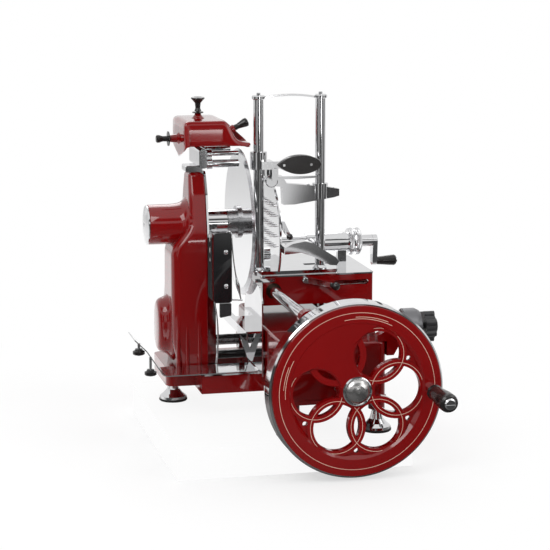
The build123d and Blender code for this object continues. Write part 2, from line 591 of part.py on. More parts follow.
with BuildPart() as flywheel_casting:
    web_y = WEB_T + DISH_DEPTH
    turned([(DISH_DEPTH, 0), (DISH_DEPTH, DISH_R - DISH_DEPTH), (0, DISH_R), (0, WHEEL_R - 1), (1, WHEEL_R),
            (FACE_T, WHEEL_R), (FACE_T, WHEEL_R - 4), (FACE_T + GROOVE_W, WHEEL_R - 4),
            (FACE_T + GROOVE_W, WHEEL_R - 2), (RIM_W, WHEEL_R - 2), (RIM_W, WHEEL_R - RIM_T),
            (WEB_T + 3, WHEEL_R - RIM_T - 2), (WEB_T, DISH_R + 4), (web_y, DISH_R - 6), (web_y, 0)],
           (WHEEL_X, WHEEL_Y0, WHEEL_Z), (0, 1, 0), (1, 0, 0))
    # raised tracery bands on the dished web, and on its back
    with BuildSketch(facing(WHEEL_Y0 + web_y + RING_RISE)):
        with Locations((WHEEL_X, WHEEL_Z)):
            with Locations(*SPOKES):
                with BuildSketch(mode=Mode.PRIVATE) as ring:
                    Circle(RING_R + RING_BAND)
                    Circle(RING_R, mode=Mode.SUBTRACT)
                add(ring.sketch)
    extrude(amount=WEB_T + 2 * RING_RISE)
    # the openings: every open ring's circle, less all the bands that cross it
    with BuildSketch(facing(WHEEL_Y0 + web_y + 12)):
        with Locations((WHEEL_X, WHEEL_Z)):
            with Locations(*OPEN_SPOKES):
                Circle(RING_R)
            with Locations(*SPOKES):
                with BuildSketch(mode=Mode.PRIVATE) as band:
                    Circle(RING_R + RING_BAND)
                    Circle(RING_R, mode=Mode.SUBTRACT)
                add(band.sketch, mode=Mode.SUBTRACT)
            with Locations(*[(DROP_PITCH_R * cos(radians(a)), DROP_PITCH_R * sin(radians(a)))
                             for a in DROP_ANGLES]):
                Circle(DROP_R)
    extrude(amount=web_y + 13, mode=Mode.SUBTRACT)
    # hub and the handle's boss
    round_y(HUB_R, WHEEL_Y0 + 2, WHEEL_Y1, WHEEL_X, WHEEL_Z)
    handle_x = WHEEL_X + HANDLE_PITCH_R * cos(radians(HANDLE_ANGLE))
    handle_z = WHEEL_Z + HANDLE_PITCH_R * sin(radians(HANDLE_ANGLE))
    round_y(14, WHEEL_Y0 + 1, WHEEL_Y0 + 22, handle_x, handle_z)
    round_y(SHAFT_R, WHEEL_Y0, WHEEL_Y1 + 1, WHEEL_X, WHEEL_Z, mode=Mode.SUBTRACT)
    round_y(GRIP_STEM_R, WHEEL_Y0 - 1, WHEEL_Y0 + 18, handle_x, handle_z, mode=Mode.SUBTRACT)

with BuildPart() as rim_band:
    band_y0 = FACE_T + GROOVE_W
    turned([(band_y0, WHEEL_R - 2), (band_y0, WHEEL_R + 2), (band_y0 + 3, WHEEL_R + BAND_T - 2),
            (RIM_W - 3, WHEEL_R + BAND_T - 2), (RIM_W, WHEEL_R + 2), (RIM_W, WHEEL_R - 2)],
           (WHEEL_X, WHEEL_Y0, WHEEL_Z), (0, 1, 0), (1, 0, 0))

with BuildPart() as hub_cap:
    turned([(0, 0), (0.4, 7), (1.6, 13), (4.0, 18.5), (7.5, HUB_CAP_R - 1), (10, HUB_CAP_R),
            (12, HUB_CAP_R), (12, 0)],
           (WHEEL_X, WHEEL_Y0 - 10, WHEEL_Z), (0, 1, 0), (1, 0, 0))

with BuildPart() as handle_stem:
    # collar against the wheel, stem through the grip, and the turned end that the nut sits on
    stem_y0 = WHEEL_Y0 - COLLAR_LEN - GRIP_LEN - 2 * AIR
    round_y(13, WHEEL_Y0 - COLLAR_LEN, WHEEL_Y0, handle_x, handle_z)
    round_y(GRIP_STEM_R, stem_y0, WHEEL_Y0 + 18, handle_x, handle_z)
    turned([(0, 0), (0, 8.5), (2, 11), (5, 11), (5, 0)], (handle_x, stem_y0 - 5, handle_z), (0, 1, 0),
           (1, 0, 0))
    block(handle_x - 12, handle_x + 12, stem_y0 - 6, stem_y0 - 3.5, handle_z - 1.2, handle_z + 1.2,
          mode=Mode.SUBTRACT)

with BuildPart() as handle_grip:
    bore = GRIP_STEM_R + RUN
    turned([(0, bore), (0, GRIP_R - 5), (3, GRIP_R - 1.5), (8, GRIP_R), (30, GRIP_R),
            (GRIP_LEN - 26, GRIP_R - 3),
            (GRIP_LEN - 10, GRIP_R - 5), (GRIP_LEN - 3, GRIP_R - 3), (GRIP_LEN, GRIP_R - 5),
            (GRIP_LEN, bore)],
           (handle_x, stem_y0 + AIR, handle_z), (0, 1, 0), (1, 0, 0))


# ================================================================ bevel pair
def bevel_gear(axis_dir, mesh_dir, phase, bore_r):
    """Mitre gear with its apex at BEVEL_APEX and its large end on the axis_dir side."""
    axis_v, mesh_v = Vector(*axis_dir), Vector(*mesh_dir)
    cone = BEVEL_R * sqrt(2)
    small = (cone - BEVEL_FACE) / cone
    root = TOOTH_DED / sqrt(2)
    root_r, root_a = BEVEL_R - root, BEVEL_R + root
    turned([(small * root_a, bore_r), (small * root_a, small * root_r), (root_a, root_r),
            (root_a + 3, root_r - 3),
            (root_a + 3, bore_r + 6), (root_a + 10, bore_r + 6), (root_a + 10, bore_r)],
           BEVEL_APEX, axis_dir, mesh_dir)
    pitch = 2 * pi * BEVEL_R / BEVEL_TEETH
    half = 0.42 * pitch / 2
    teeth = []
    for step in range(BEVEL_TEETH):
        out = mesh_v.rotate(Axis((0, 0, 0), axis_dir), (step + phase) * 360 / BEVEL_TEETH)
        normal = (out - axis_v).normalized()
        side = axis_v.cross(out)
        ends = []
        for scale in (0.99, small + 0.05):
            centre = Vector(*BEVEL_APEX) + (axis_v + out) * BEVEL_R * scale
            foot = centre - normal * (TOOTH_DED + 0.4) * scale
            tip = centre + normal * TOOTH_ADD * scale
            foot_w, tip_w = (half + 0.36 * TOOTH_DED) * scale, (half - 0.36 * TOOTH_ADD) * scale
            ends.append(Face(Wire.make_polygon([foot - side * foot_w, foot + side * foot_w,
                                                tip + side * tip_w, tip - side * tip_w])))
        teeth.append(Solid.make_loft([face.outer_wire() for face in ends], ruled=True))
    add(teeth)


with BuildPart() as main_shaft:
    round_y(SHAFT_R, WHEEL_Y0 + 2, DRIVE_Y - 22, WHEEL_X, WHEEL_Z)
    bevel_gear((0, -1, 0), (-1, 0, 0), 0.0, SHAFT_R - 1)

with BuildPart() as cross_shaft:
    round_x(CROSS_R, SPROCKET_X - 6, CRANK_X + CRANK_T, DRIVE_Y, WHEEL_Z)
    bevel_gear((-1, 0, 0), (0, -1, 0), 0.5, CROSS_R - 1)
    sprocket(BIG_TEETH, BIG_R, CROSS_R - 1, DRIVE_Y, WHEEL_Z)
    with BuildSketch(across(SPROCKET_X - 1)):
        with Locations((DRIVE_Y, WHEEL_Z)):
            with PolarLocations(BIG_R * 0.58, 6):
                Circle(8)
    extrude(amount=SPROCKET_T + 2, mode=Mode.SUBTRACT)
    round_x(46, CRANK_X, CRANK_X + CRANK_T, DRIVE_Y, WHEEL_Z)
    round_x(5, CRANK_X + CRANK_T, CRANK_X + CRANK_T + 8.5, DRIVE_Y, WHEEL_Z + CRANK_R)

# ================================================================ carriage link
with BuildPart() as connecting_rod:
    rod_x = CRANK_X + CRANK_T + 0.5
    rod_z = WHEEL_Z + CRANK_R
    with BuildSketch(across(rod_x)):
        with Locations((DRIVE_Y, rod_z)):
            Circle(9)
        with Locations((DRIVE_Y - CONROD_LEN, rod_z)):
            Circle(8)
        with Locations((DRIVE_Y - CONROD_LEN / 2, rod_z)):
            Rectangle(CONROD_LEN, 9)
        with Locations((DRIVE_Y, rod_z)):
            Circle(5 + RUN, mode=Mode.SUBTRACT)
        with Locations((DRIVE_Y - CONROD_LEN, rod_z)):
            Circle(4, mode=Mode.SUBTRACT)
    extrude(amount=7)

# ================================================================ carriage
with BuildPart() as carriage_box:
    car_mid = ((CAR_X0 + CAR_X1) / 2, (CAR_Y0 + CAR_Y1) / 2)
    with BuildSketch(level(CAR_Z0)):
        with Locations(car_mid):
            RectangleRounded(CAR_X1 - CAR_X0, CAR_Y1 - CAR_Y0, 5)
    extrude(amount=CAR_Z1 - CAR_Z0)
    block(CAR_X0 + CAR_WALL, CAR_X1 - CAR_WALL, CAR_Y0 + CAR_WALL, CAR_Y1 - CAR_WALL, CAR_Z0, CAR_Z1 - 6,
          mode=Mode.SUBTRACT)
    # bearing bosses for the guide rod, and the bar that runs on the polished way
    for boss_y0 in (CAR_Y0, CAR_Y1 - 30):
        round_y(ROD_R + 9, boss_y0, boss_y0 + 30, ROD_X, ROD_Z)
        round_y(ROD_R + 5, boss_y0 - 1, boss_y0 + 31, ROD_X, ROD_Z, mode=Mode.SUBTRACT)
    block(RUNNER_X - 3, RUNNER_X + RUNNER_W + 3, CAR_Y0 + CAR_WALL, CAR_Y1 - CAR_WALL, CAR_Z0, CAR_Z0 + 8)
    # clamp slot and the clamp lever's bore in the front wall
    with BuildSketch(facing(CAR_Y0 + CAR_WALL + 2)):
        with Locations(((CLAMP_SLOT_X0 + CLAMP_SLOT_X1) / 2, CLAMP_SLOT_Z)):
            SlotOverall(CLAMP_SLOT_X1 - CLAMP_SLOT_X0, CLAMP_SLOT_H)
    extrude(amount=CAR_WALL + 4, mode=Mode.SUBTRACT)
    round_y(CLAMP_BOLT_R + RUN, CAR_Y0 - 1, CAR_Y0 + 14, CLAMP_X, CLAMP_Z, mode=Mode.SUBTRACT)
    # lug that hangs through the deck
    block(CRANK_X + CRANK_T - 1, CRANK_X + CRANK_T + 9, 0, 16, DECK_Z - DECK_T - 3, CAR_Z1 - 6)

with BuildPart() as rod_bushes:
    for boss_y0 in (CAR_Y0, CAR_Y1 - 30):
        round_y(ROD_R + 5, boss_y0 + 2, boss_y0 + 30, ROD_X, ROD_Z)
    round_y(ROD_R + RUN, CAR_Y0, CAR_Y1 + 1, ROD_X, ROD_Z, mode=Mode.SUBTRACT)

with BuildPart() as lower_table:
    with BuildSketch(level(CAR_Z1)):
        with Locations(car_mid):
            RectangleRounded(CAR_X1 - CAR_X0 + 2, CAR_Y1 - CAR_Y0 + 2, 5)
    extrude(amount=LOWER_TABLE_T)
    block(GUARD_X + GUARD_T + 2.5, ROD_X + 3, CAR_Y0 - 3, CAR_Y0, CAR_Z1 - 9, CAR_Z1 - 2)

with BuildPart() as feed_housing:
    round_x(HOUSING_R, HOUSING_X0, HOUSING_X1, FEED_Y, FEED_Z)
    round_x(12, HOUSING_X1, CRANK_ARM_X - AIR, FEED_Y, FEED_Z)
    block(HOUSING_FOOT_X0, HOUSING_FOOT_X1, FEED_Y - 6, FEED_Y + 6, CAR_Z1 + LOWER_TABLE_T, FEED_Z - 4)
    round_x(TUBE2_R + AIR, HOUSING_X0 - 1, HOUSING_X1 - 3, FEED_Y, FEED_Z, mode=Mode.SUBTRACT)
    round_x(SCREW_R + RUN, HOUSING_X1 - 4, CRANK_ARM_X + 1, FEED_Y, FEED_Z, mode=Mode.SUBTRACT)
    turned([(0, HOUSING_R), (0, KNURL_R - 2), (2, KNURL_R), (9, KNURL_R), (11, KNURL_R - 2),
            (13, KNURL_R - 3),
            (15, KNURL_R - 2), (17, KNURL_R), (24, KNURL_R), (26, KNURL_R - 2), (26, HOUSING_R)],
           (HOUSING_X1 - 27, FEED_Y, FEED_Z), (1, 0, 0), (0, 1, 0))

with BuildPart() as clamp_lever:
    ball_x, ball_z = CLAMP_X + 62, CLAMP_Z - 14.5
    round_y(CLAMP_BOLT_R, CAR_Y0 - 10, CAR_Y0 + 10, CLAMP_X, CLAMP_Z)
    with BuildSketch(facing(CAR_Y0 - AIR)):
        with Locations((CLAMP_X, CLAMP_Z)):
            Circle(6.5)
        with Locations((ball_x, ball_z)):
            Circle(4.5)
        make_hull()
    extrude(amount=7)

with BuildPart() as clamp_ball:
    turned([(0, 0), (0, 4), (3, 7), (8, 8.5), (13, 7), (16, 3.5), (16.5, 0)],
           (ball_x, CAR_Y0 - AIR - 7, ball_z), (0, -1, 0), (1, 0, 0))

# ================================================================ meat table
with BuildPart() as upper_table:
    with BuildSketch(level(TABLE_Z0)):
        with Locations(((TABLE_X0 + TABLE_X1) / 2, (TABLE_Y0 + TABLE_Y1) / 2)):
            RectangleRounded(TABLE_X1 - TABLE_X0, TABLE_Y1 - TABLE_Y0, 4)
    extrude(amount=TABLE_T)
    # slot that clears the feed housing's foot
    block(HOUSING_FOOT_X0 - FEED_TRAVEL - 3, TABLE_X1 + 1, FEED_Y - 8, FEED_Y + 8, TABLE_Z0 - 1,
          TABLE_Z1 + 1,
          mode=Mode.SUBTRACT)

with BuildPart() as columns:
    for col_x in COL_X:
        round_z(COL_R, TABLE_Z1, COL_TOP, col_x, COL_Y)

with BuildPart() as column_caps:
    for col_x in COL_X:
        turned([(0, 0), (0, 12), (1.5, 13.5), (6, 13.5), (8, 11.5), (8, 4), (13, 4), (13, 0)],
               (col_x, COL_Y, COL_TOP), (0, 0, 1), (1, 0, 0))
    # thin bowed bar between the caps
    bar_x0, bar_x1 = COL_X[0] + 13.5, COL_X[1] - 13.5
    bar_mid = (bar_x0 + bar_x1) / 2
    with BuildSketch(facing(COL_Y + 4)):
        with BuildLine():
            ThreePointArc((bar_x0, COL_TOP + 1.5), (bar_mid, COL_TOP + 6), (bar_x1, COL_TOP + 1.5))
            Line((bar_x1, COL_TOP + 1.5), (bar_x1, COL_TOP + 5.5))
            ThreePointArc((bar_x1, COL_TOP + 5.5), (bar_mid, COL_TOP + 10), (bar_x0, COL_TOP + 5.5))
            Line((bar_x0, COL_TOP + 5.5), (bar_x0, COL_TOP + 1.5))
        make_face()
    extrude(amount=8)

with BuildPart() as claw_plate:
    with BuildSketch(across(CLAW_X)):
        with Locations((CLAW_Y, CLAW_Z)):
            Circle(CLAW_R)
        with Locations((CLAW_Y, TABLE_Z1 - 200)):
            Rectangle(400, 400, mode=Mode.SUBTRACT)
    extrude(amount=CLAW_T)
    claw_rim = claw_plate.edges().filter_by(GeomType.CIRCLE)
    chamfer(claw_rim, 1.0)
    round_x(13, CLAW_X - 7, CLAW_X, CLAW_Y + 6, 295)
    for row in range(5):
        for col in range(7):
            spike_y, spike_z = CLAW_Y - 66 + 22 * col, 322 + 21 * row
            turned([(0, 0), (0, 2.2), (11, 0.3), (11, 0)], (CLAW_X, spike_y, spike_z), (-1, 0, 0),
                   (0, 1, 0))
    round_x(4, CLAW_X + CLAW_T, CLAW_X + CLAW_T + 9, CLAW_Y - 38, 395)

with BuildPart() as claw_lever:
    with BuildSketch(across(CLAW_X + CLAW_T + AIR)):
        with Locations((CLAW_Y - 38, 395)):
            Circle(8)
        with Locations((CLAW_Y - 156, 358)):
            Circle(4)
        make_hull()
        with Locations((CLAW_Y - 38, 395)):
            Circle(4 + RUN, mode=Mode.SUBTRACT)
    extrude(amount=7)

with BuildPart() as claw_ball:
    turned([(0, 0), (0, 3), (3, 5.5), (7, 6.5), (11, 5.5), (14, 2), (14.4, 0)],
           (CLAW_X + CLAW_T + AIR + 3.5, CLAW_Y - 160, 358), (0, -1, 0), (1, 0, 0))

with BuildPart() as lower_arm:
    with BuildSketch(facing(-108)):
        with BuildLine():
            Polyline((208, 318), (208, 332), (222, 339), (247, 343), (263, 339), (311, 308), (317, 299),
                     (312, 292), (299, 293), (262, 312), (240, 320), close=True)
        make_face()
    extrude(amount=24)
    block(CLAW_X + CLAW_T, 215, -132, -84, 318, 332)

with BuildPart() as feed_tube:
    round_x(TUBE2_R, CLAW_X + CLAW_T, HOUSING_X0 + 44, FEED_Y, FEED_Z)
    round_x(TUBE2_BORE, CLAW_X + CLAW_T + 5, HOUSING_X0 + 45, FEED_Y, FEED_Z, mode=Mode.SUBTRACT)

# ================================================================ feed crank
with BuildPart() as feed_crank:
    round_x(SCREW_R, HOUSING_X0 + 4, CRANK_ARM_X + 4, FEED_Y, FEED_Z)
    with BuildSketch(across(CRANK_ARM_X)):
        with Locations((FEED_Y, FEED_Z)):
            Circle(12)
        with Locations((FEED_Y, FEED_Z - CRANK_THROW)):
            Circle(8.5)
        make_hull()
    extrude(amount=10)
    round_x(4, CRANK_ARM_X + 10, CRANK_ARM_X + 52, FEED_Y, FEED_Z - CRANK_THROW)
    round_x(6, CRANK_ARM_X + 52, CRANK_ARM_X + 54, FEED_Y, FEED_Z - CRANK_THROW)

with BuildPart() as feed_grip:
    turned([(0, 4 + RUN), (0, 7), (2, 8), (30, 10.5), (38, 11), (41, 9.5), (41, 4 + RUN)],
           (CRANK_ARM_X + 10 + AIR, FEED_Y, FEED_Z - CRANK_THROW), (1, 0, 0), (0, 1, 0))

# ================================================================ meat press
PIN_Z = PRESS_Z + 19
with BuildPart() as press_arm:
    with BuildSketch(facing(COL_Y + 9)):
        with BuildLine():
            Polyline((186, PRESS_Z), (214, PRESS_Z - 2), (216, PRESS_Z - 39), (240, PRESS_Z - 39),
                     (322, PRESS_Z - 27), (PRESS_X1, PRESS_Z - 24), (PRESS_X1, PRESS_Z - 10),
                     (300, PRESS_Z - 4),
                     (224, PRESS_Z + 4), (214, PRESS_Z + 20), (186, PRESS_Z + 20), close=True)
        make_face()
    extrude(amount=18)
    round_z(16, PRESS_Z - 29, PRESS_Z + 2, COL_X[1], COL_Y)
    round_z(COL_R + RUN, PRESS_Z - 48, PRESS_Z + 22, COL_X[1], COL_Y, mode=Mode.SUBTRACT)
    round_z(17, HANDLE_Z - 10, HANDLE_Z + 25, COL_X[0], COL_Y)
    block(COL_X[0], 192, COL_Y - 30, COL_Y + 8, HANDLE_Z - 8, HANDLE_Z + 8)
    block(178, 190, COL_Y - 8, COL_Y + 8, PRESS_Z + 20, HANDLE_Z - 6)
    round_z(COL_R + RUN, PRESS_Z + 22, HANDLE_Z + 38, COL_X[0], COL_Y, mode=Mode.SUBTRACT)
    for cheek_y in (COL_Y - 31, COL_Y - 17):
        block(188, 201, cheek_y, cheek_y + 3.5, PRESS_Z + 14, HANDLE_Z - 6)
    turned([(0, 0), (0, 11), (2, 13), (10, 13), (12, 11.5), (14, 13), (22, 13), (24, 11), (24, 0)],
           (192, COL_Y - 12, PRESS_Z + 10), (0, 1, 0), (1, 0, 0))
    round_y(2.5, COL_Y - 31, COL_Y - 13.5, 196, PIN_Z)

HANDLE_LEAF = [(0, 0), (0.12, 0.22), (0.3, 0.42), (0.55, 0.5), (0.8, 0.4), (0.95, 0.2), (1.0, 0)]


def leaf(x0, x1, height):
    """Closed leaf-shaped outline between x0 and x1 about HANDLE_Z."""
    upper = [(x0 + (x1 - x0) * u, HANDLE_Z + height * v) for u, v in HANDLE_LEAF]
    lower = [(x, 2 * HANDLE_Z - z) for x, z in upper[1:-1]][::-1]
    with BuildSketch(facing(0)) as outline:
        with BuildLine():
            Spline(*upper)
            Spline(upper[-1], *lower, upper[0])
        make_face()
    return outline.sketch


HANDLE_Y = COL_Y - 22
with BuildPart() as handle_core:
    extrude(leaf(HANDLE_X0, HANDLE_X1 - 3, 36).moved(Location((0, HANDLE_Y + 3, 0))), amount=6)
    block(192, 206, HANDLE_Y - 3, HANDLE_Y + 3, HANDLE_Z - 7, HANDLE_Z + 7)
    for rivet_x in (HANDLE_X0 + 18, HANDLE_X1 - 28):
        round_y(2.6, HANDLE_Y - 9.4, HANDLE_Y - 3, rivet_x, HANDLE_Z)
        round_y(2.6, HANDLE_Y + 3, HANDLE_Y + 9.4, rivet_x, HANDLE_Z)

with BuildPart() as handle_scales:
    for scale_y in (HANDLE_Y + 9, HANDLE_Y - 3):
        extrude(leaf(HANDLE_X0 + 5, HANDLE_X1 - 7, 38).moved(Location((0, scale_y, 0))), amount=6)
    for rivet_x in (HANDLE_X0 + 18, HANDLE_X1 - 28):
        round_y(2.6, HANDLE_Y - 10, HANDLE_Y + 10, rivet_x, HANDLE_Z, mode=Mode.SUBTRACT)

with BuildPart() as squeeze_lever:
    with BuildSketch(facing(COL_Y - 17.5)):
        with Locations((196, PIN_Z)):
            Circle(5)
        with BuildLine():
            Polyline((196, PIN_Z + 2), (284, PIN_Z + 1), (284, PIN_Z - 2), (240, PIN_Z - 4),
                     (196, PIN_Z - 3),
                     close=True)
        make_face()
        with Locations((196, PIN_Z)):
            Circle(2.5 + RUN, mode=Mode.SUBTRACT)
    extrude(amount=9.6)

# ================================================================ thickness dial
with BuildPart() as dial_drum:
    turned([(0, 0), (0, DIAL_R - 2), (2, DIAL_R), (DIAL_X1 - DIAL_X0 - 10, DIAL_R),
            (DIAL_X1 - DIAL_X0 - 2, DIAL_R - 4), (DIAL_X1 - DIAL_X0, DIAL_R - 6), (DIAL_X1 - DIAL_X0, 0)],
           (DIAL_X0, DIAL_Y, DIAL_Z), (1, 0, 0), (0, 1, 0))
    round_x(6 + RUN, DIAL_X1 - 20, DIAL_X1 + 1, DIAL_Y, DIAL_Z, mode=Mode.SUBTRACT)

with BuildPart() as thickness_knob:
    round_x(6, DIAL_X1 - 18, DIAL_X1 + 10, DIAL_Y, DIAL_Z)
    with BuildSketch(across(DIAL_X1 + 8)):
        with Locations((DIAL_Y, DIAL_Z)):
            Circle(KNOB_R - 5)
            with PolarLocations(KNOB_R - 6, 7):
                Circle(6.5)
    extrude(amount=20)
    round_x(14, DIAL_X1 + 28, DIAL_X1 + 34, DIAL_Y, DIAL_Z)

# ================================================================ sharpener
with BuildPart() as sharpener_bracket:
    block(26, 60, -22, 22, CASE_TOP_Z, 486)
    block(48, 64, -54, 56, 486, 524)
    for rod_y, rod_z2, rod_r in ((-40, 513, 5), (-42, 493, 8), (40, 513, 5)):
        round_x(rod_r, 64, 131, rod_y, rod_z2)
        round_x(rod_r + 3, 66, 76, rod_y, rod_z2)
    round_z(6, 524, 572, 56, 45)

HOOD_BACK = [(0, HOOD_Z0), (0, HOOD_Z1), (88, HOOD_Z1), (134, HOOD_Z0 + 6), (134, HOOD_Z0)]
HOOD_FRONT = [(0, HOOD_Z0), (0, HOOD_Z1), (88, HOOD_Z1), (104, HOOD_Z0 + 18), (112, HOOD_Z0 + 9),
              (134, HOOD_Z0 + 6), (134, HOOD_Z0)]


def hood_prism(outline, y0, y1, shrink):
    """Length of hood between y0 and y1 with its outline pulled in by shrink."""
    with BuildSketch(facing(y1)) as shape:
        with BuildLine():
            Polyline(*[(HOOD_X0 + x, z) for x, z in outline], close=True)
        make_face()
        if shrink:
            offset(amount=-shrink, kind=Kind.INTERSECTION)
            with BuildLine():
                Polyline((HOOD_X0 + shrink, HOOD_Z0 + 8), (HOOD_X0 + shrink, HOOD_Z0 - 30),
                         (HOOD_X1 - shrink, HOOD_Z0 - 30), (HOOD_X1 - shrink, HOOD_Z0 + shrink),
                         (HOOD_X0 + 104, HOOD_Z0 + shrink + 1), close=True)
            make_face()
    extrude(shape.sketch, amount=y1 - y0, mode=Mode.SUBTRACT if shrink else Mode.ADD)


with BuildPart() as sharpener_hood:
    hood_prism(HOOD_BACK, NOTCH_Y, HOOD_HALF, 0)
    hood_prism(HOOD_FRONT, -HOOD_HALF, NOTCH_Y, 0)
    top_edges = sharpener_hood.edges().filter_by(lambda e: e.center().Z > HOOD_Z1 - 0.1)
    fillet(top_edges.filter_by(Axis.X), 9)
    # pointed skirt of the left end
    with BuildSketch(across(HOOD_X0)):
        with BuildLine():
            Polyline((-HOOD_HALF, HOOD_Z0), (-HOOD_HALF + 12, HOOD_Z0 - 8), (0, HOOD_Z0 - 26),
                     (HOOD_HALF - 12, HOOD_Z0 - 8), (HOOD_HALF, HOOD_Z0), close=True)
        make_face()
    extrude(amount=HOOD_WALL)
    hood_prism(HOOD_BACK, NOTCH_Y + HOOD_WALL, HOOD_HALF - HOOD_WALL, HOOD_WALL)
    hood_prism(HOOD_FRONT, -HOOD_HALF + HOOD_WALL, NOTCH_Y + HOOD_WALL + 1, HOOD_WALL)
    # inner guide on the lifting post, boss of the left stone and the cone under the top knob
    round_z(12, HOOD_Z0 + 4, HOOD_Z1 - 2, 56, 45)
    round_z(6 + RUN, HOOD_Z0 - 1, HOOD_Z1 - 6, 56, 45, mode=Mode.SUBTRACT)
    turned([(0, 4 + RUN), (0, 7), (18, 9), (22, 9), (22, 4 + RUN)], (HOOD_X0 - 19, 0, 541), (1, 0, 0),
           (0, 1, 0))
    round_x(4 + RUN, HOOD_X0 - 20, HOOD_X0 + 5, 0, 541, mode=Mode.SUBTRACT)
    turned([(0, 0), (0, 13), (2, 11.5), (7, 7), (11, 5.5), (11, 0)], (56, 0, HOOD_Z1 - 0.5), (0, 0, 1),
           (1, 0, 0))
    turned([(0, 4 + RUN), (0, 8), (16, 8), (16, 4 + RUN)], RIGHT_STONE, RIGHT_AXIS, (0, 1, 0))
    turned([(-3, 0), (-3, 4 + RUN), (17, 4 + RUN), (17, 0)], RIGHT_STONE, RIGHT_AXIS, (0, 1, 0),
           mode=Mode.SUBTRACT)

with BuildPart() as hood_knob:
    turned([(0, 0), (0, 11), (2, 11.5), (4, 7), (10, 5), (20, 6), (26, 11), (29, 14), (31, 13.5),
            (32.5, 9), (33, 0)],
           (56, 0, HOOD_Z1 + 10.5), (0, 0, 1), (1, 0, 0))

with BuildPart() as left_stone_knob:
    turned([(0, 0), (0, 6), (2, 8), (6, 8), (14, 5.5), (24, 6), (24, 15), (26, 15), (26, 4), (158, 4),
            (158, 0)],
           (HOOD_X0 - 46, 0, 541), (1, 0, 0), (0, 1, 0))

with BuildPart() as left_stone:
    turned([(0, 4), (0, STONE_R), (STONE_T, STONE_R), (STONE_T, 4)], (HOOD_X0 + 102, 0, 541), (1, 0, 0),
           (0, 1, 0))

with BuildPart() as right_stone_knob:
    turned([(-7, 0), (-7, 4), (16 + AIR, 4), (16 + AIR, 6), (24, 5.5), (40, 9), (44, 9), (46, 6), (46, 0)],
           RIGHT_STONE, RIGHT_AXIS, (0, 1, 0))

with BuildPart() as right_stone:
    turned([(-7, 4), (-7, 12), (-1, 12), (-1, 4)], RIGHT_STONE, RIGHT_AXIS, (0, 1, 0))

# ================================================================ export
SUBPARTS = dict(
    foot_bells=foot_bells, foot_pads=foot_pads, base_casting=base_casting, guide_ways=guide_ways,
    rod_brackets=rod_brackets, gear_case=gear_case, case_plate=case_plate, bearing_tube=bearing_tube,
    shaft_bushes=shaft_bushes, drive_chain=drive_chain, blade=blade, blade_shaft=blade_shaft,
    blade_cover=blade_cover, deflector_panel=deflector_panel, guard_plate=guard_plate,
    side_rail=side_rail, tray=tray, flywheel_casting=flywheel_casting, rim_band=rim_band, hub_cap=hub_cap,
    handle_stem=handle_stem, handle_grip=handle_grip, main_shaft=main_shaft, cross_shaft=cross_shaft,
    connecting_rod=connecting_rod, carriage_box=carriage_box, rod_bushes=rod_bushes,
    lower_table=lower_table, feed_housing=feed_housing, clamp_lever=clamp_lever, clamp_ball=clamp_ball,
    upper_table=upper_table, columns=columns, column_caps=column_caps, claw_plate=claw_plate,
    claw_lever=claw_lever, claw_ball=claw_ball, lower_arm=lower_arm, feed_tube=feed_tube,
    feed_crank=feed_crank, feed_grip=feed_grip, press_arm=press_arm, handle_core=handle_core,
    handle_scales=handle_scales, squeeze_lever=squeeze_lever, dial_drum=dial_drum,
    thickness_knob=thickness_knob, sharpener_bracket=sharpener_bracket, sharpener_hood=sharpener_hood,
    hood_knob=hood_knob, left_stone_knob=left_stone_knob, left_stone=left_stone,
    right_stone_knob=right_stone_knob, right_stone=right_stone, tray_knob_upper=TRAY_KNOB_PARTS[0],
    tray_knob_lower=TRAY_KNOB_PARTS[1],
)

os.makedirs("parts", exist_ok=True)
for label, builder in SUBPARTS.items():
    builder.part.label = label
    export_step(builder.part, f"parts/{label}.step")
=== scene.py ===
"""Looks of a hand crank flywheel meat slicer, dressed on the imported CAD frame.

Lengths are in millimetres in the part's own frame and become metres in `Workshop.emit`; the studio
alone is in metres. The classes follow the machine's sub-assemblies, from flywheel to sharpener.
"""

import json
import logging
import math
from dataclasses import dataclass, field
from enum import Enum
from typing import Any, Callable, Iterable, Sequence, Union

import bmesh
import bpy
import numpy as np
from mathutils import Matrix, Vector

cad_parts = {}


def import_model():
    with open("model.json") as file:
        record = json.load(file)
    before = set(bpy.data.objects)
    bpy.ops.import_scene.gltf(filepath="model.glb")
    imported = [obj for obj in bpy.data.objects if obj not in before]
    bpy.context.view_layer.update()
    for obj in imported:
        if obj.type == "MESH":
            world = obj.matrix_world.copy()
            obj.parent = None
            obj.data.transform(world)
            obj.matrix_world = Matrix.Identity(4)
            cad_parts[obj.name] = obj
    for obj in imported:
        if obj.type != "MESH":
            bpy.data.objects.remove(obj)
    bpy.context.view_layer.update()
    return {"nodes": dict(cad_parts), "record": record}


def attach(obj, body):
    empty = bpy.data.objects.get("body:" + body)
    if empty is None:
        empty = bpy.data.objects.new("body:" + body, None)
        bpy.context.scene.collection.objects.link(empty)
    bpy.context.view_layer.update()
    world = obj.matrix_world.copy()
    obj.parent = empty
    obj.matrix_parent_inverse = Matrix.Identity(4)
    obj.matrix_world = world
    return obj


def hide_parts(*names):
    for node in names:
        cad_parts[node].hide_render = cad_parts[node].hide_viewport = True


logging.basicConfig(level=logging.INFO, format="%(message)s")
log = logging.getLogger("slicer")

MM = 0.001
Array = np.ndarray
Point = tuple[float, float, float]
Colour = tuple[float, float, float]
Profile = Sequence[tuple[float, float]]
ACROSS: Point = (1.0, 0.0, 0.0)
BACKWARD: Point = (0.0, 1.0, 0.0)
FORWARD: Point = (0.0, -1.0, 0.0)
UPWARD: Point = (0.0, 0.0, 1.0)


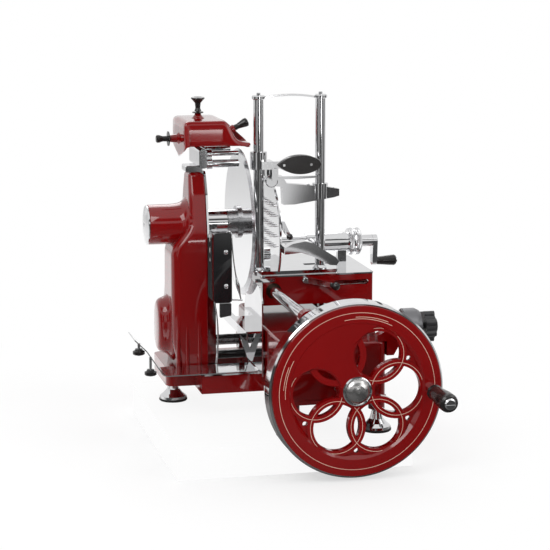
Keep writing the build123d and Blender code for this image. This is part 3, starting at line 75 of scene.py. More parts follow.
# ---------------------------------------------------------------- shader expressions
class Sock:
    """One shader socket whose arithmetic operators add Math nodes."""

    def __init__(self, nodes: "Nodes", socket: bpy.types.NodeSocket) -> None:
        """Wraps a socket of a tree."""
        self.nodes = nodes
        self.socket = socket

    def _math(self, operation: str, *values: "Value") -> "Sock":
        """Adds one Math node over values."""
        return self.nodes.node("ShaderNodeMath", {"operation": operation}, *values)

    def __add__(self, other: "Value") -> "Sock":
        """self + other."""
        return self._math("ADD", self, other)

    def __sub__(self, other: "Value") -> "Sock":
        """self - other."""
        return self._math("SUBTRACT", self, other)

    def __rsub__(self, other: "Value") -> "Sock":
        """other - self."""
        return self._math("SUBTRACT", other, self)

    def __mul__(self, other: "Value") -> "Sock":
        """self * other."""
        return self._math("MULTIPLY", self, other)

    def __truediv__(self, other: "Value") -> "Sock":
        """self / other."""
        return self._math("DIVIDE", self, other)

    def __rtruediv__(self, other: "Value") -> "Sock":
        """other / self."""
        return self._math("DIVIDE", other, self)

    def __pow__(self, other: "Value") -> "Sock":
        """self ** other."""
        return self._math("POWER", self, other)

    def __gt__(self, other: "Value") -> "Sock":
        """1 where self is greater than other, else 0."""
        return self._math("GREATER_THAN", self, other)

    __radd__ = __add__
    __rmul__ = __mul__

    def clamp(self) -> "Sock":
        """self held between 0 and 1."""
        return self.nodes.node("ShaderNodeClamp", {}, self)

    def sine(self) -> "Sock":
        """Sine of self, in radians."""
        return self._math("SINE", self)


Value = Union[Sock, float, Sequence[float]]


class Nodes:
    """A node tree, emptied, and the one method that adds nodes to it."""

    def __init__(self, tree: bpy.types.NodeTree) -> None:
        """Takes the tree over and empties it."""
        self.tree = tree
        tree.nodes.clear()

    def end(self, kind: str, surface: Sock) -> None:
        """Links a surface to the tree's output node, which is added where it's missing.

        Args:
            kind: The output node's bl_idname.
            surface: The shader that goes out.
        """
        output = next((node for node in self.tree.nodes if node.bl_idname == kind), None)
        output = output or self.tree.nodes.new(kind)
        self.tree.links.new(surface.socket, output.inputs["Surface"])

    def axes(self, vector: Sock) -> tuple[Sock, Sock, Sock]:
        """A vector's three parts."""
        return tuple(self.node("ShaderNodeSeparateXYZ", {}, vector, output=axis) for axis in "XYZ")

    def node(self, kind: str, settings: dict[str, Any], *values: Value, output: str | int = 0,
             **named: Value) -> Sock:
        """Adds a node of any kind.

        Args:
            kind: The node's bl_idname.
            settings: Attributes set before the inputs; "stops" fills a colour ramp.
            values: Inputs in socket order.
            output: Name or index of the output socket to hand back.
            named: Inputs by socket name, with underscores for spaces.

        Returns:
            The chosen output, wrapped.
        """
        made = self.tree.nodes.new(kind)
        for key, setting in settings.items():
            if key == "stops":
                self._fill_ramp(made.color_ramp, setting)
            else:
                setattr(made, key, setting)
        enabled = [socket for socket in made.inputs if socket.enabled]
        pairs = list(zip(enabled, values))
        pairs += [(self._input(made, name.replace("_", " ")), value) for name, value in named.items()]
        for socket, value in pairs:
            self.feed(socket, value)
        outputs = [socket for socket in made.outputs if socket.enabled]
        chosen = outputs[output] if isinstance(output, int) else made.outputs[output]
        return Sock(self, chosen)

    @staticmethod
    def _input(made: bpy.types.Node, name: str) -> bpy.types.NodeSocket:
        """The enabled input called name."""
        return next(socket for socket in made.inputs if socket.enabled and socket.name == name)

    @staticmethod
    def _fill_ramp(ramp: bpy.types.ColorRamp, stops: Sequence[tuple[float, Colour]]) -> None:
        """Sets a colour ramp's stops.

        Args:
            ramp: The ramp.
            stops: (position, colour) pairs.
        """
        while len(ramp.elements) < len(stops):
            ramp.elements.new(0.5)
        for element, (position, colour) in zip(ramp.elements, stops):
            element.position = position
            element.color = (*colour, 1.0)

    def feed(self, socket: bpy.types.NodeSocket, value: Value) -> None:
        """Links or sets one input.

        Args:
            socket: The input.
            value: A wrapped socket, a number, a vector or a colour.
        """
        if isinstance(value, Sock):
            self.tree.links.new(value.socket, socket)
        elif isinstance(value, (int, float)):
            socket.default_value = value
        else:
            wide = len(socket.default_value)
            socket.default_value = (*value, 1.0) if wide == 4 and len(value) == 3 else tuple(value)

    def mix(self, share: Value, low: Value, high: Value) -> Sock:
        """Colour from low to high by share."""
        return self.node("ShaderNodeMix", {"data_type": "RGBA"}, share, low, high)


class Shader(Nodes):
    """A material's node tree, its Object coordinates and its Principled shader."""

    def __init__(self, name: str) -> None:
        """Starts a node material called name."""
        self.material = bpy.data.materials.new(name)
        self.material.use_nodes = True
        super().__init__(self.material.node_tree)
        self.principled = self.tree.nodes.new("ShaderNodeBsdfPrincipled")
        self.surface = Sock(self, self.principled.outputs["BSDF"])
        self.end("ShaderNodeOutputMaterial", self.surface)
        self.coords = self.node("ShaderNodeTexCoord", {}, output="Object")

    def noise(self, scale: float, detail: float = 3.0, stretch: Point = (1, 1, 1)) -> Sock:
        """Noise over the surface.

        Args:
            scale: Cycles per metre.
            detail: Octaves of finer noise.
            stretch: Factors on the three axes; a small one draws the noise out along its axis.

        Returns:
            The noise, 0 to 1.
        """
        vector = self.coords
        if stretch != (1, 1, 1):
            vector = self.node("ShaderNodeMapping", {}, self.coords, Scale=stretch)
        return self.node("ShaderNodeTexNoise", {}, Vector=vector, Scale=scale, Detail=detail,
                         output="Fac")

    def bump(self, height: Sock, depth_mm: float) -> Sock:
        """Normal from a 0..1 height that stands for depth_mm."""
        return self.node("ShaderNodeBump", {}, Strength=1.0, Distance=depth_mm * MM, Height=height)

    def set(self, **sockets: Value) -> "Shader":
        """Feeds the Principled shader's inputs by name."""
        for name, value in sockets.items():
            self.feed(self.principled.inputs[name.replace("_", " ")], value)
        return self


# ---------------------------------------------------------------- finishes
@dataclass(frozen=True)
class Enamel:
    """Stove enamel over cast iron: deep colour under a clear gloss, with a faint orange peel."""

    colour: Colour
    shade: Colour
    roughness: float = 0.13
    peel_mm: float = 0.012
    mottle_scale: float = 9.0
    peel_scale: float = 420.0
    speck_scale: float = 1600.0

    def build(self, name: str) -> bpy.types.Material:
        """Makes the material called name."""
        shader = Shader(name)
        return shader.set(
            Base_Color=shader.mix(shader.noise(self.mottle_scale, 2.0), self.shade, self.colour),
            Roughness=self.roughness + 0.05 * shader.noise(self.speck_scale, 2.0),
            Specular_IOR_Level=0.2,
            Coat_Weight=0.9,
            Coat_Roughness=0.03,
            Normal=shader.bump(shader.noise(self.peel_scale, 1.0), self.peel_mm),
        ).material


@dataclass(frozen=True)
class Plate:
    """Polished or ground metal with polishing lines along one axis."""

    colour: Colour
    roughness: float
    lines: Point = (1.0, 1.0, 0.06)
    line_depth_mm: float = 0.002
    wear: float = 0.05
    line_scale: float = 1400.0
    smear_scale: float = 26.0
    dullness: float = 0.86

    def build(self, name: str) -> bpy.types.Material:
        """Makes the material called name."""
        shader = Shader(name)
        lines = shader.noise(self.line_scale, 2.0, self.lines)
        smears = shader.noise(self.smear_scale, 4.0)
        dull = tuple(self.dullness * channel for channel in self.colour)
        return shader.set(
            Base_Color=shader.mix(smears, dull, self.colour),
            Metallic=1.0,
            Roughness=self.roughness + self.wear * smears * lines,
            Normal=shader.bump(lines, self.line_depth_mm),
        ).material


@dataclass(frozen=True)
class BladeSteel:
    """Mirror steel, lapped in circles about the blade's shaft, with a ground bevel at the rim."""

    centre: Point
    bevel_radius: float
    colour: Colour = (0.86, 0.86, 0.87)
    ground: Colour = (0.62, 0.62, 0.64)
    lap_waves: float = 9000.0
    lap_mm: float = 0.003
    smear_scale: float = 18.0

    def build(self, name: str) -> bpy.types.Material:
        """Makes the material. Distance from the shaft drives the lapping rings and the bevel."""
        shader = Shader(name)
        _, y, z = shader.axes(shader.coords)
        across, up = y - self.centre[1] * MM, z - self.centre[2] * MM
        radius = (across * across + up * up) ** 0.5
        rings = (radius * self.lap_waves).sine() * 0.5 + 0.5
        bevel = radius > self.bevel_radius * MM
        smears = shader.noise(self.smear_scale, 3.0)
        return shader.set(
            Base_Color=shader.mix(bevel * 0.5 + smears * 0.2, self.colour, self.ground),
            Metallic=1.0,
            Roughness=0.035 + 0.02 * smears + 0.16 * bevel,
            Normal=shader.bump(rings * bevel, self.lap_mm),
        ).material


@dataclass(frozen=True)
class Moulding:
    """Black phenolic, rubber, grindstone and other matter that isn't metal."""

    colour: Colour
    fleck: Colour
    roughness: float
    grain: float = 700.0
    grain_mm: float = 0.02
    mottle_scale: float = 40.0

    def build(self, name: str) -> bpy.types.Material:
        """Makes the material called name."""
        shader = Shader(name)
        grain = shader.noise(self.grain, 3.0)
        mottle = shader.noise(self.mottle_scale, 2.0)
        return shader.set(
            Base_Color=shader.mix(grain * 0.6 + mottle * 0.4, self.colour, self.fleck),
            Roughness=self.roughness + 0.12 * mottle,
            Normal=shader.bump(grain, self.grain_mm),
        ).material


Recipe = Union[Enamel, Plate, BladeSteel, Moulding]


class Finish(Enum):
    """The machine's finishes: the record's material slots, and two that only scene.py knows."""

    RED_ENAMEL = "red_enamel"
    BLACK_ENAMEL = "black_enamel"
    CHROME = "chrome"
    MIRROR_STEEL = "mirror_steel"
    STEEL = "steel"
    BRONZE = "bronze"
    RUBBER = "rubber"
    BAKELITE = "bakelite"
    DARK_KNOB = "dark_knob"
    CAST_GREY = "cast_grey"
    ABRASIVE = "abrasive"
    PINSTRIPE = "pinstripe"
    SATIN = "satin"


@dataclass
class Palette:
    """Makes each finish once and hands it out."""

    blade_centre: Point
    bevel_radius: float
    made: dict[Finish, bpy.types.Material] = field(default_factory=dict)

    def recipe(self, finish: Finish) -> Recipe:
        """The finish's recipe."""
        even = (1.0, 1.0, 1.0)
        return {
            Finish.RED_ENAMEL: Enamel((0.225, 0.0018, 0.0022), (0.175, 0.0012, 0.0016)),
            Finish.BLACK_ENAMEL: Enamel((0.012, 0.012, 0.013), (0.008, 0.008, 0.009)),
            Finish.PINSTRIPE: Enamel((0.78, 0.52, 0.42), (0.70, 0.44, 0.34), 0.3),
            Finish.CHROME: Plate((0.80, 0.80, 0.81), 0.05),
            Finish.SATIN: Plate((0.66, 0.65, 0.64), 0.24, even, 0.004, 0.08),
            Finish.MIRROR_STEEL: BladeSteel(self.blade_centre, self.bevel_radius),
            Finish.STEEL: Plate((0.50, 0.50, 0.51), 0.24, (0.06, 1.0, 1.0), 0.006, 0.12),
            # Bronze is painted nearly black as painted shade, so the guide rod's bush reads as a shadowed
            # hole.
            Finish.BRONZE: Plate((0.08, 0.06, 0.045), 0.26, (1.0, 0.06, 1.0), 0.006, 0.1),
            Finish.CAST_GREY: Plate((0.23, 0.23, 0.24), 0.34, even, 0.02, 0.1),
            Finish.RUBBER: Moulding((0.012, 0.012, 0.012), (0.025, 0.024, 0.023), 0.62, 900.0, 0.05),
            Finish.BAKELITE: Moulding((0.010, 0.009, 0.009), (0.018, 0.015, 0.014), 0.16, 500.0, 0.004),
            Finish.DARK_KNOB: Moulding((0.022, 0.022, 0.024), (0.035, 0.035, 0.037), 0.26, 600.0, 0.01),
            Finish.ABRASIVE: Moulding((0.20, 0.19, 0.18), (0.42, 0.40, 0.37), 0.85, 2600.0, 0.12),
        }[finish]

    def get(self, finish: Finish) -> bpy.types.Material:
        """The finish's material."""
        if finish not in self.made:
            self.made[finish] = self.recipe(finish).build(f"{finish.value}_look")
        return self.made[finish]


# ---------------------------------------------------------------- surfaces
def unit(vector: Sequence[float]) -> Array:
    """vector at length one."""
    array = np.asarray(vector, float)
    return array / np.linalg.norm(array)


def cross_frame(axis: Sequence[float]) -> tuple[Array, Array, Array]:
    """Three unit vectors: the axis itself and two square to it.

    Args:
        axis: Any direction.

    Returns:
        The axis, and two directions that turn right-handed about it.
    """
    along = unit(axis)
    helper = np.array([0.0, 0.0, 1.0]) if abs(along[2]) < 0.9 else np.array([1.0, 0.0, 0.0])
    side = unit(np.cross(helper, along))
    return along, side, np.cross(along, side)


@dataclass
class Surface:
    """A grid of points, rows by columns, whose columns run round or end at a free edge."""

    points: Array
    around: bool = True

    def faces(self) -> Array:
        """Quads between neighbouring rows and columns, wrapped where the columns run round."""
        rows, columns = self.points.shape[:2]
        index = np.arange(rows * columns).reshape(rows, columns)
        if self.around:
            index = np.hstack([index, index[:, :1]])
        quads = np.stack([index[:-1, :-1], index[:-1, 1:], index[1:, 1:], index[1:, :-1]], axis=-1)
        return quads.reshape(-1, 4)


def turned(profile: Profile, origin: Sequence[float], axis: Sequence[float],
           columns: int = 40, sweep: tuple[float, float] = (0.0, 360.0),
           radial: Callable[[Array], Array] | None = None) -> Surface:
    """Turns a profile about an axis: point = origin + a * axis + r * f(t) * (cos t, sin t).

    Args:
        profile: (distance along the axis, radius) pairs.
        origin: Where distance 0 is.
        axis: The axis' direction.
        columns: Points round the axis.
        sweep: First and last angle in degrees.
        radial: f(t), which scales the radius round the axis; 1 when left out.

    Returns:
        The surface, closed round the axis when it sweeps the full turn.
    """
    full = abs(sweep[1] - sweep[0]) >= 360.0
    angle = np.radians(np.linspace(*sweep, columns, endpoint=not full))
    along, side, up = cross_frame(axis)
    scale = radial(angle) if radial else np.ones_like(angle)
    steps = np.asarray(profile, float)
    ring = np.cos(angle)[:, None] * side + np.sin(angle)[:, None] * up
    points = (np.asarray(origin, float) + steps[:, :1, None] * along
              + steps[:, 1:, None] * (scale[:, None] * ring)[None])
    return Surface(points, full)


def hexagon(angle: Array) -> Array:
    """Radius of a hexagon of inner radius 1: 1 / cos of the angle past a flat's middle."""
    return 1.0 / np.cos((angle + math.pi / 6) % (math.pi / 3) - math.pi / 6)


def ridges(count: int, depth: float) -> Callable[[Array], Array]:
    """Radial scale with count rounded ridges: 1 + depth * |sin(count * t / 2)|."""
    return lambda angle: 1.0 + depth * np.abs(np.sin(count * angle / 2))


def carried(path: Array, radius: Union[float, Array], columns: int = 14) -> Surface:
    """A round bar along a path: each ring is square to the path, turned as little as it can be.

    Args:
        path: Points along the middle.
        radius: One radius, or one for each point.
        columns: Points round the bar.

    Returns:
        The surface with both ends closed to a point.
    """
    path = np.asarray(path, float)
    tangent = np.gradient(path, axis=0)
    tangent /= np.linalg.norm(tangent, axis=1, keepdims=True)
    reference = cross_frame(path[-1] - path[0])[1]
    side = reference - (tangent @ reference)[:, None] * tangent
    side /= np.linalg.norm(side, axis=1, keepdims=True)
    up = np.cross(tangent, side)
    angle = np.linspace(0, 2 * math.pi, columns, endpoint=False)
    radii = np.broadcast_to(np.asarray(radius, float), (len(path),))[:, None, None]
    body = path[:, None] + radii * (np.cos(angle)[None, :, None] * side[:, None]
                                    + np.sin(angle)[None, :, None] * up[:, None])
    ends = [np.broadcast_to(path[i], (1, columns, 3)) for i in (0, -1)]
    return Surface(np.concatenate([ends[0], body, ends[1]]))


def bezier(corners: Sequence[Sequence[float]], count: int = 40) -> Array:
    """Points on a Bezier curve: the sum of C(n, k) * t^k * (1 - t)^(n - k) * corner k.

    Args:
        corners: The curve's n + 1 corners.
        count: Points along it.

    Returns:
        The points, count rows.
    """
    corner = np.asarray(corners, float)
    order = len(corner) - 1
    t = np.linspace(0, 1, count)[:, None]
    weights = [math.comb(order, k) * t ** k * (1 - t) ** (order - k) for k in range(order + 1)]
    return sum(weight * corner[k] for k, weight in enumerate(weights))


def rectangle(x0: float, x1: float, z0: float, z1: float) -> list[tuple[float, float]]:
    """The four corners of a rectangle in (X, Z)."""
    return [(x0, z0), (x1, z0), (x1, z1), (x0, z1)]


def plate(corners: Profile, y0: float, y1: float, radius: float) -> Surface:
    """A flat plate between y0 and y1 with its outline's corners rounded and its edges broken.

    Args:
        corners: Its outline in (X, Z).
        y0: Its front.
        y1: Its back.
        radius: Of the rounded corners.

    Returns:
        Loops from the middle of the front, over both broken edges, to the middle of the back.
    """
    corner = np.asarray(corners, float)
    neighbours = zip(corner, np.roll(corner, 1, axis=0), np.roll(corner, -1, axis=0))
    loop = np.concatenate([bezier((here + radius * unit(before - here), here,
                                   here + radius * unit(after - here)), 8)
                           for here, before, after in neighbours])
    middle = loop.mean(axis=0)
    span = np.abs(loop - middle).max(axis=0)
    broken = min(0.6, 0.3 * (y1 - y0), *(0.4 * span))
    inner = middle + (loop - middle) * (1 - broken / span)
    centre = np.broadcast_to(middle, loop.shape)
    rows = ((centre, y0), (inner, y0), (loop, y0 + broken), (loop, y1 - broken), (inner, y1), (centre, y1))
    return Surface(np.array([np.insert(line, 1, y, axis=1) for line, y in rows]))


def placed(name: str, data: bpy.types.ID) -> bpy.types.Object:
    """A new object called name around data, linked to the scene."""
    thing = bpy.data.objects.new(name, data)
    bpy.context.scene.collection.objects.link(thing)
    return thing


class Workshop:
    """Puts surfaces into the scene as finished pieces that ride on a body."""

    sunk = 0.2

    def __init__(self, palette: Palette) -> None:
        """Keeps the finishes at hand."""
        self.palette = palette

    def emit(self, name: str, surfaces: Union[Surface, Iterable[Surface]], finish: Finish, body: str,
             sharp_deg: float = 32.0) -> bpy.types.Object:
        """Makes one object of one or more surfaces.

        Args:
            name: The piece's name.
            surfaces: Its surfaces, in millimetres.
            finish: Its finish.
            body: The CAD body it moves with.
            sharp_deg: Edges that turn more than this stay sharp.

        Returns:
            The object, with its place in its mesh.
        """
        grids = [surfaces] if isinstance(surfaces, Surface) else list(surfaces)
        counts = np.cumsum([0] + [grid.points.shape[0] * grid.points.shape[1] for grid in grids])
        points = np.concatenate([grid.points.reshape(-1, 3) for grid in grids]) * MM
        faces = np.concatenate([grid.faces() + start for grid, start in zip(grids, counts)])
        mesh = bpy.data.meshes.new(name)
        mesh.from_pydata(points.tolist(), [], faces.tolist())
        self._close(mesh)
        mesh.materials.append(self.palette.get(finish))
        mesh.shade_smooth()
        mesh.set_sharp_from_angle(angle=math.radians(sharp_deg))
        piece = placed(name, mesh)
        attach(piece, body)
        log.info("%s: %d faces on %s", name, len(mesh.polygons), body)
        return piece

    @staticmethod
    def _close(mesh: bpy.types.Mesh) -> None:
        """Merges doubles, drops what collapsed to a line and points every face outwards."""
        work = bmesh.new()
        work.from_mesh(mesh)
        bmesh.ops.remove_doubles(work, verts=work.verts, dist=1e-6)
        bmesh.ops.dissolve_degenerate(work, edges=work.edges, dist=1e-7)
        bmesh.ops.recalc_face_normals(work, faces=work.faces)
        work.to_mesh(mesh)
        work.free()

    def screw(self, origin: Sequence[float], axis: Sequence[float], radius: float,
              rise: float) -> Surface:
        """A domed head with a straight slot: height = rise * sqrt(1 - (r / R)^2), cut down in the slot.

        Args:
            origin: The middle of its seat.
            axis: The way it points.
            radius: The head's radius, R.
            rise: The head's height.

        Returns:
            Rings from the head's middle to its edge, and one just under the seat.
        """
        along, side, up = cross_frame(axis)
        share = np.concatenate([np.linspace(0, 1, 14), [1.0]])[:, None]
        angle = np.linspace(0, 2 * math.pi, 48, endpoint=False)[None]
        x, y = radius * share * np.cos(angle), radius * share * np.sin(angle)
        height = rise * (0.35 + 0.65 * np.sqrt(np.clip(1 - share ** 2, 0, 1))) * np.ones_like(angle)
        height = np.where(np.abs(y) < 0.16 * radius, height - 0.55 * rise, height)
        height[-1] = -self.sunk
        return Surface(np.asarray(origin, float) + x[..., None] * side + y[..., None] * up
                       + height[..., None] * along)

    def nut(self, origin: Sequence[float], axis: Sequence[float], flat: float, height: float) -> Surface:
        """A hexagon nut with a chamfered top; flat is half its width across flats."""
        chamfer = 0.86
        profile = [(-self.sunk, 0.0), (-self.sunk, flat), (height * chamfer, flat),
                   (height, flat * chamfer), (height, 0.0)]
        return turned(profile, origin, axis, 60, radial=hexagon)


# ---------------------------------------------------------------- sub-assemblies
@dataclass
class FlywheelTrim:
    """The flywheel's plain sector, its pinstripes and the small turned details round its hub."""

    shop: Workshop
    centre: Point = (268.5, -453.0, 111.0)
    stripe: float = 1.1
    proud: float = 0.25
    rim_stripe: float = 150.0
    band_front: float = 4.0
    ring_pitch: float = 78.4
    ring_stripe: float = 50.4
    ring_clear: float = 45.6
    ring_angles: tuple[float, ...] = (0.0, 60.0, 180.0, 240.0, 300.0)
    arcs: tuple[tuple[float, float, float], ...] = ((138.5, 62.0, 101.0), (142.0, 66.0, 92.0),
                                                    (138.5, 152.0, 183.0), (142.0, 158.0, 176.0))
    sector_angle: float = 120.0
    sector_reach: tuple[float, float] = (20.0, 133.0)
    sector_gap: float = 6.0
    sector_front: float = 1.2
    sector_web: float = 10.5
    sector_back: float = 11.0
    sector_step: float = 2.4

    def spot(self, angle: float) -> tuple[float, float]:
        """Where a ring's centre lies from the wheel's, as (X, Z), for its angle in degrees."""
        turn = math.radians(angle)
        return self.ring_pitch * math.cos(turn), self.ring_pitch * math.sin(turn)

    def line(self, radius: float, depth: float = 0.0, spot: tuple[float, float] = (0.0, 0.0),
             sweep: tuple[float, float] | None = None) -> Surface:
        """A painted line: a thin low band about an axis along Y.

        Args:
            radius: Of the line's middle.
            depth: How far it lies behind the wheel's face.
            spot: The axis from the wheel's centre, in (X, Z).
            sweep: First and last angle in degrees; the whole circle when left out.

        Returns:
            The band.
        """
        half = self.stripe / 2
        profile = [(0.1, radius - half), (-self.proud, radius - half * 0.6),
                   (-self.proud, radius + half * 0.6), (0.1, radius + half), (0.1, radius - half)]
        origin = (self.centre[0] + spot[0], self.centre[1] + depth, self.centre[2] + spot[1])
        ends = (180.0 - sweep[1], 180.0 - sweep[0]) if sweep else (0.0, 360.0)
        return turned(profile, origin, BACKWARD, 160, ends)

    def stripes(self) -> None:
        """The rim's circle, the short arcs beside the plain sector and a circle on each ring's band."""
        lines = [self.line(self.rim_stripe)]
        lines += [self.line(radius, sweep=(low, high)) for radius, low, high in self.arcs]
        lines += [self.line(self.ring_stripe, self.band_front, self.spot(angle))
                  for angle in self.ring_angles]
        self.shop.emit("wheel_pinstripes", lines, Finish.PINSTRIPE, "flywheel")

    def room(self, x: Array, z: Array) -> Array:
        """How far points lie inside the plain sector.

        Args:
            x: Their X from the wheel's centre.
            z: Their Z from the wheel's centre.

        Returns:
            The least distance to its edges, negative outside it.
        """
        radius = np.hypot(x, z)
        inner, outer = self.sector_reach
        room = np.minimum(outer - radius, radius - inner)
        for angle, side in ((self.sector_angle - 60.0, 1.0), (self.sector_angle + 60.0, -1.0)):
            turn = math.radians(angle)
            ring_x, ring_z = self.spot(angle)
            room = np.minimum(room, np.hypot(x - ring_x, z - ring_z) - self.ring_clear)
            room = np.minimum(room, side * (z * math.cos(turn) - x * math.sin(turn)) - self.sector_gap)
        return room

    def sector(self) -> None:
        """The plain sector of the face, flush with the rim: a lens-like sheet over a star-shaped region.

        From a point inside the sector each ray runs to where the room ends; the front face is flush
        where the room is wide and sinks into the web by a smooth step over its last millimetres.
        """
        turn = np.linspace(0, 2 * math.pi, 540, endpoint=False)[:, None]
        cx, cz = self.spot(self.sector_angle)
        reach = np.linspace(1.0, 150.0, 700)[None]
        outside = self.room(cx + reach * np.cos(turn), cz + reach * np.sin(turn)) < 0
        limit = reach[0][np.argmax(outside, axis=1)][None]
        share = (1 - np.linspace(1, 0, 46) ** 2)[:, None]
        x = cx + share * limit * np.cos(turn.T)
        z = cz + share * limit * np.sin(turn.T)
        step = np.clip(self.room(x, z) / self.sector_step, 0, 1)
        depth = self.sector_web - (self.sector_web - self.sector_front) * step * step * (3 - 2 * step)
        x0, y0, z0 = self.centre
        front = np.stack([x0 + x, y0 + depth, z0 + z], axis=-1)
        few_x, few_z = x[::-9], z[::-9]
        back = np.stack([x0 + few_x, np.full_like(few_x, y0 + self.sector_back), z0 + few_z], axis=-1)
        self.shop.emit("wheel_sector", Surface(np.concatenate([front, back])), Finish.RED_ENAMEL,
                       "flywheel", sharp_deg=70.0)

    def hub(self) -> None:
        """A beaded washer under the hub cap and three nuts behind the hub."""
        x, y, z = self.centre
        bead = [(1.8, 22.0), (0.6, 24.5), (-0.4, 26.0), (0.4, 28.0), (2.2, 28.6), (2.2, 22.0)]
        self.shop.emit("hub_washer", turned(bead, self.centre, BACKWARD, 72), Finish.CHROME, "flywheel")
        circle, behind = 20.0, 48.0
        nuts = [self.shop.nut((x + circle * math.cos(a), y + behind, z + circle * math.sin(a)),
                              BACKWARD, 4.0, 5.0) for a in np.radians((90, 210, 330))]
        self.shop.emit("hub_nuts", nuts, Finish.STEEL, "flywheel")

    def build(self) -> None:
        """Makes every piece."""
        self.stripes()
        self.sector()
        self.hub()


@dataclass
class BladeTrim:
    """Screws on the blade's cover, and the deflector: its panel, bar, rod and finger."""

    shop: Workshop
    centre: Point = (145.0, 0.0, 367.0)
    screw_circle: float = 72.0
    panel_front: float = -102.0
    panel_screws: tuple[float, ...] = (322.0, 253.0)
    arm_levels: tuple[float, ...] = (308.0, 330.0)

    def build(self) -> None:
        """Makes every piece."""
        x, y, z = self.centre
        circle = self.screw_circle
        screws = [self.shop.screw((x, y + circle * math.cos(a), z + circle * math.sin(a)), ACROSS, 5.5, 2.2)
                  for a in np.radians((45, 135, 225, 315))]
        self.shop.emit("cover_screws", screws, Finish.CHROME, "blade")
        self.shop.emit("shaft_nut", self.shop.nut((x - 0.2, y, z), ACROSS, 9.0, 3.4), Finish.STEEL, "blade")
        heads = [self.shop.screw((91.5, self.panel_front, level), FORWARD, 4.8, 2.4)
                 for level in self.panel_screws]
        self.shop.emit("panel_screws", heads, Finish.CHROME, "frame")
        self.deflector()
        self.finger()

    def deflector(self) -> None:
        """The dark panel with its returned left edge and arms, and the bar that it stands on."""
        sheets = [plate(rectangle(66.4, 103.8, 219.0, 361.0), self.panel_front, -98.0, 7.0),
                  plate(rectangle(66.4, 68.4, 222.0, 358.0), -98.5, -64.2, 0.6)]
        sheets += [plate(rectangle(67.0, 72.5, level - 6.0, level + 6.0), -98.5, -42.0, 1.0)
                   for level in self.arm_levels]
        panel = self.shop.emit("panel_sheet", sheets, Finish.BLACK_ENAMEL, "frame")
        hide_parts("deflector_panel")
        bar = plate([(80.0, 188.0), (103.0, 192.0), (103.0, 217.0), (80.0, 217.0)], -99.0, -90.0, 2.0)
        self.shop.emit("panel_bar", bar, Finish.DARK_KNOB, "frame")
        rod = carried(np.linspace((79.0, -96.0, 226.0), (126.0, -96.0, 222.0), 12), 1.7)
        self.shop.emit("panel_rod", rod, Finish.CHROME, "frame")

    def finger(self) -> None:
        """The thin chrome finger in front of the panel: radius = 1.3 + a bell near its lower end."""
        top = (102.5, -104.0, 357.0)
        path = bezier([top, (104.0, -106.0, 330.0), (105.5, -107.0, 290.0), (113.0, -107.0, 262.0),
                       (121.0, -105.0, 226.0)], 48)
        share = np.linspace(0, 1, len(path))
        radius = 1.3 + 2.6 * np.exp(-((share - 0.8) / 0.1) ** 2)
        self.shop.emit("deflector_finger", carried(path, radius, 18), Finish.CHROME, "frame")
        hook = bezier([top, (102.0, -103.0, 366.0), (96.0, -100.0, 366.0), (92.0, -97.0, 357.0)], 16)
        self.shop.emit("finger_hook", carried(hook, 1.3, 14), Finish.CHROME, "frame")


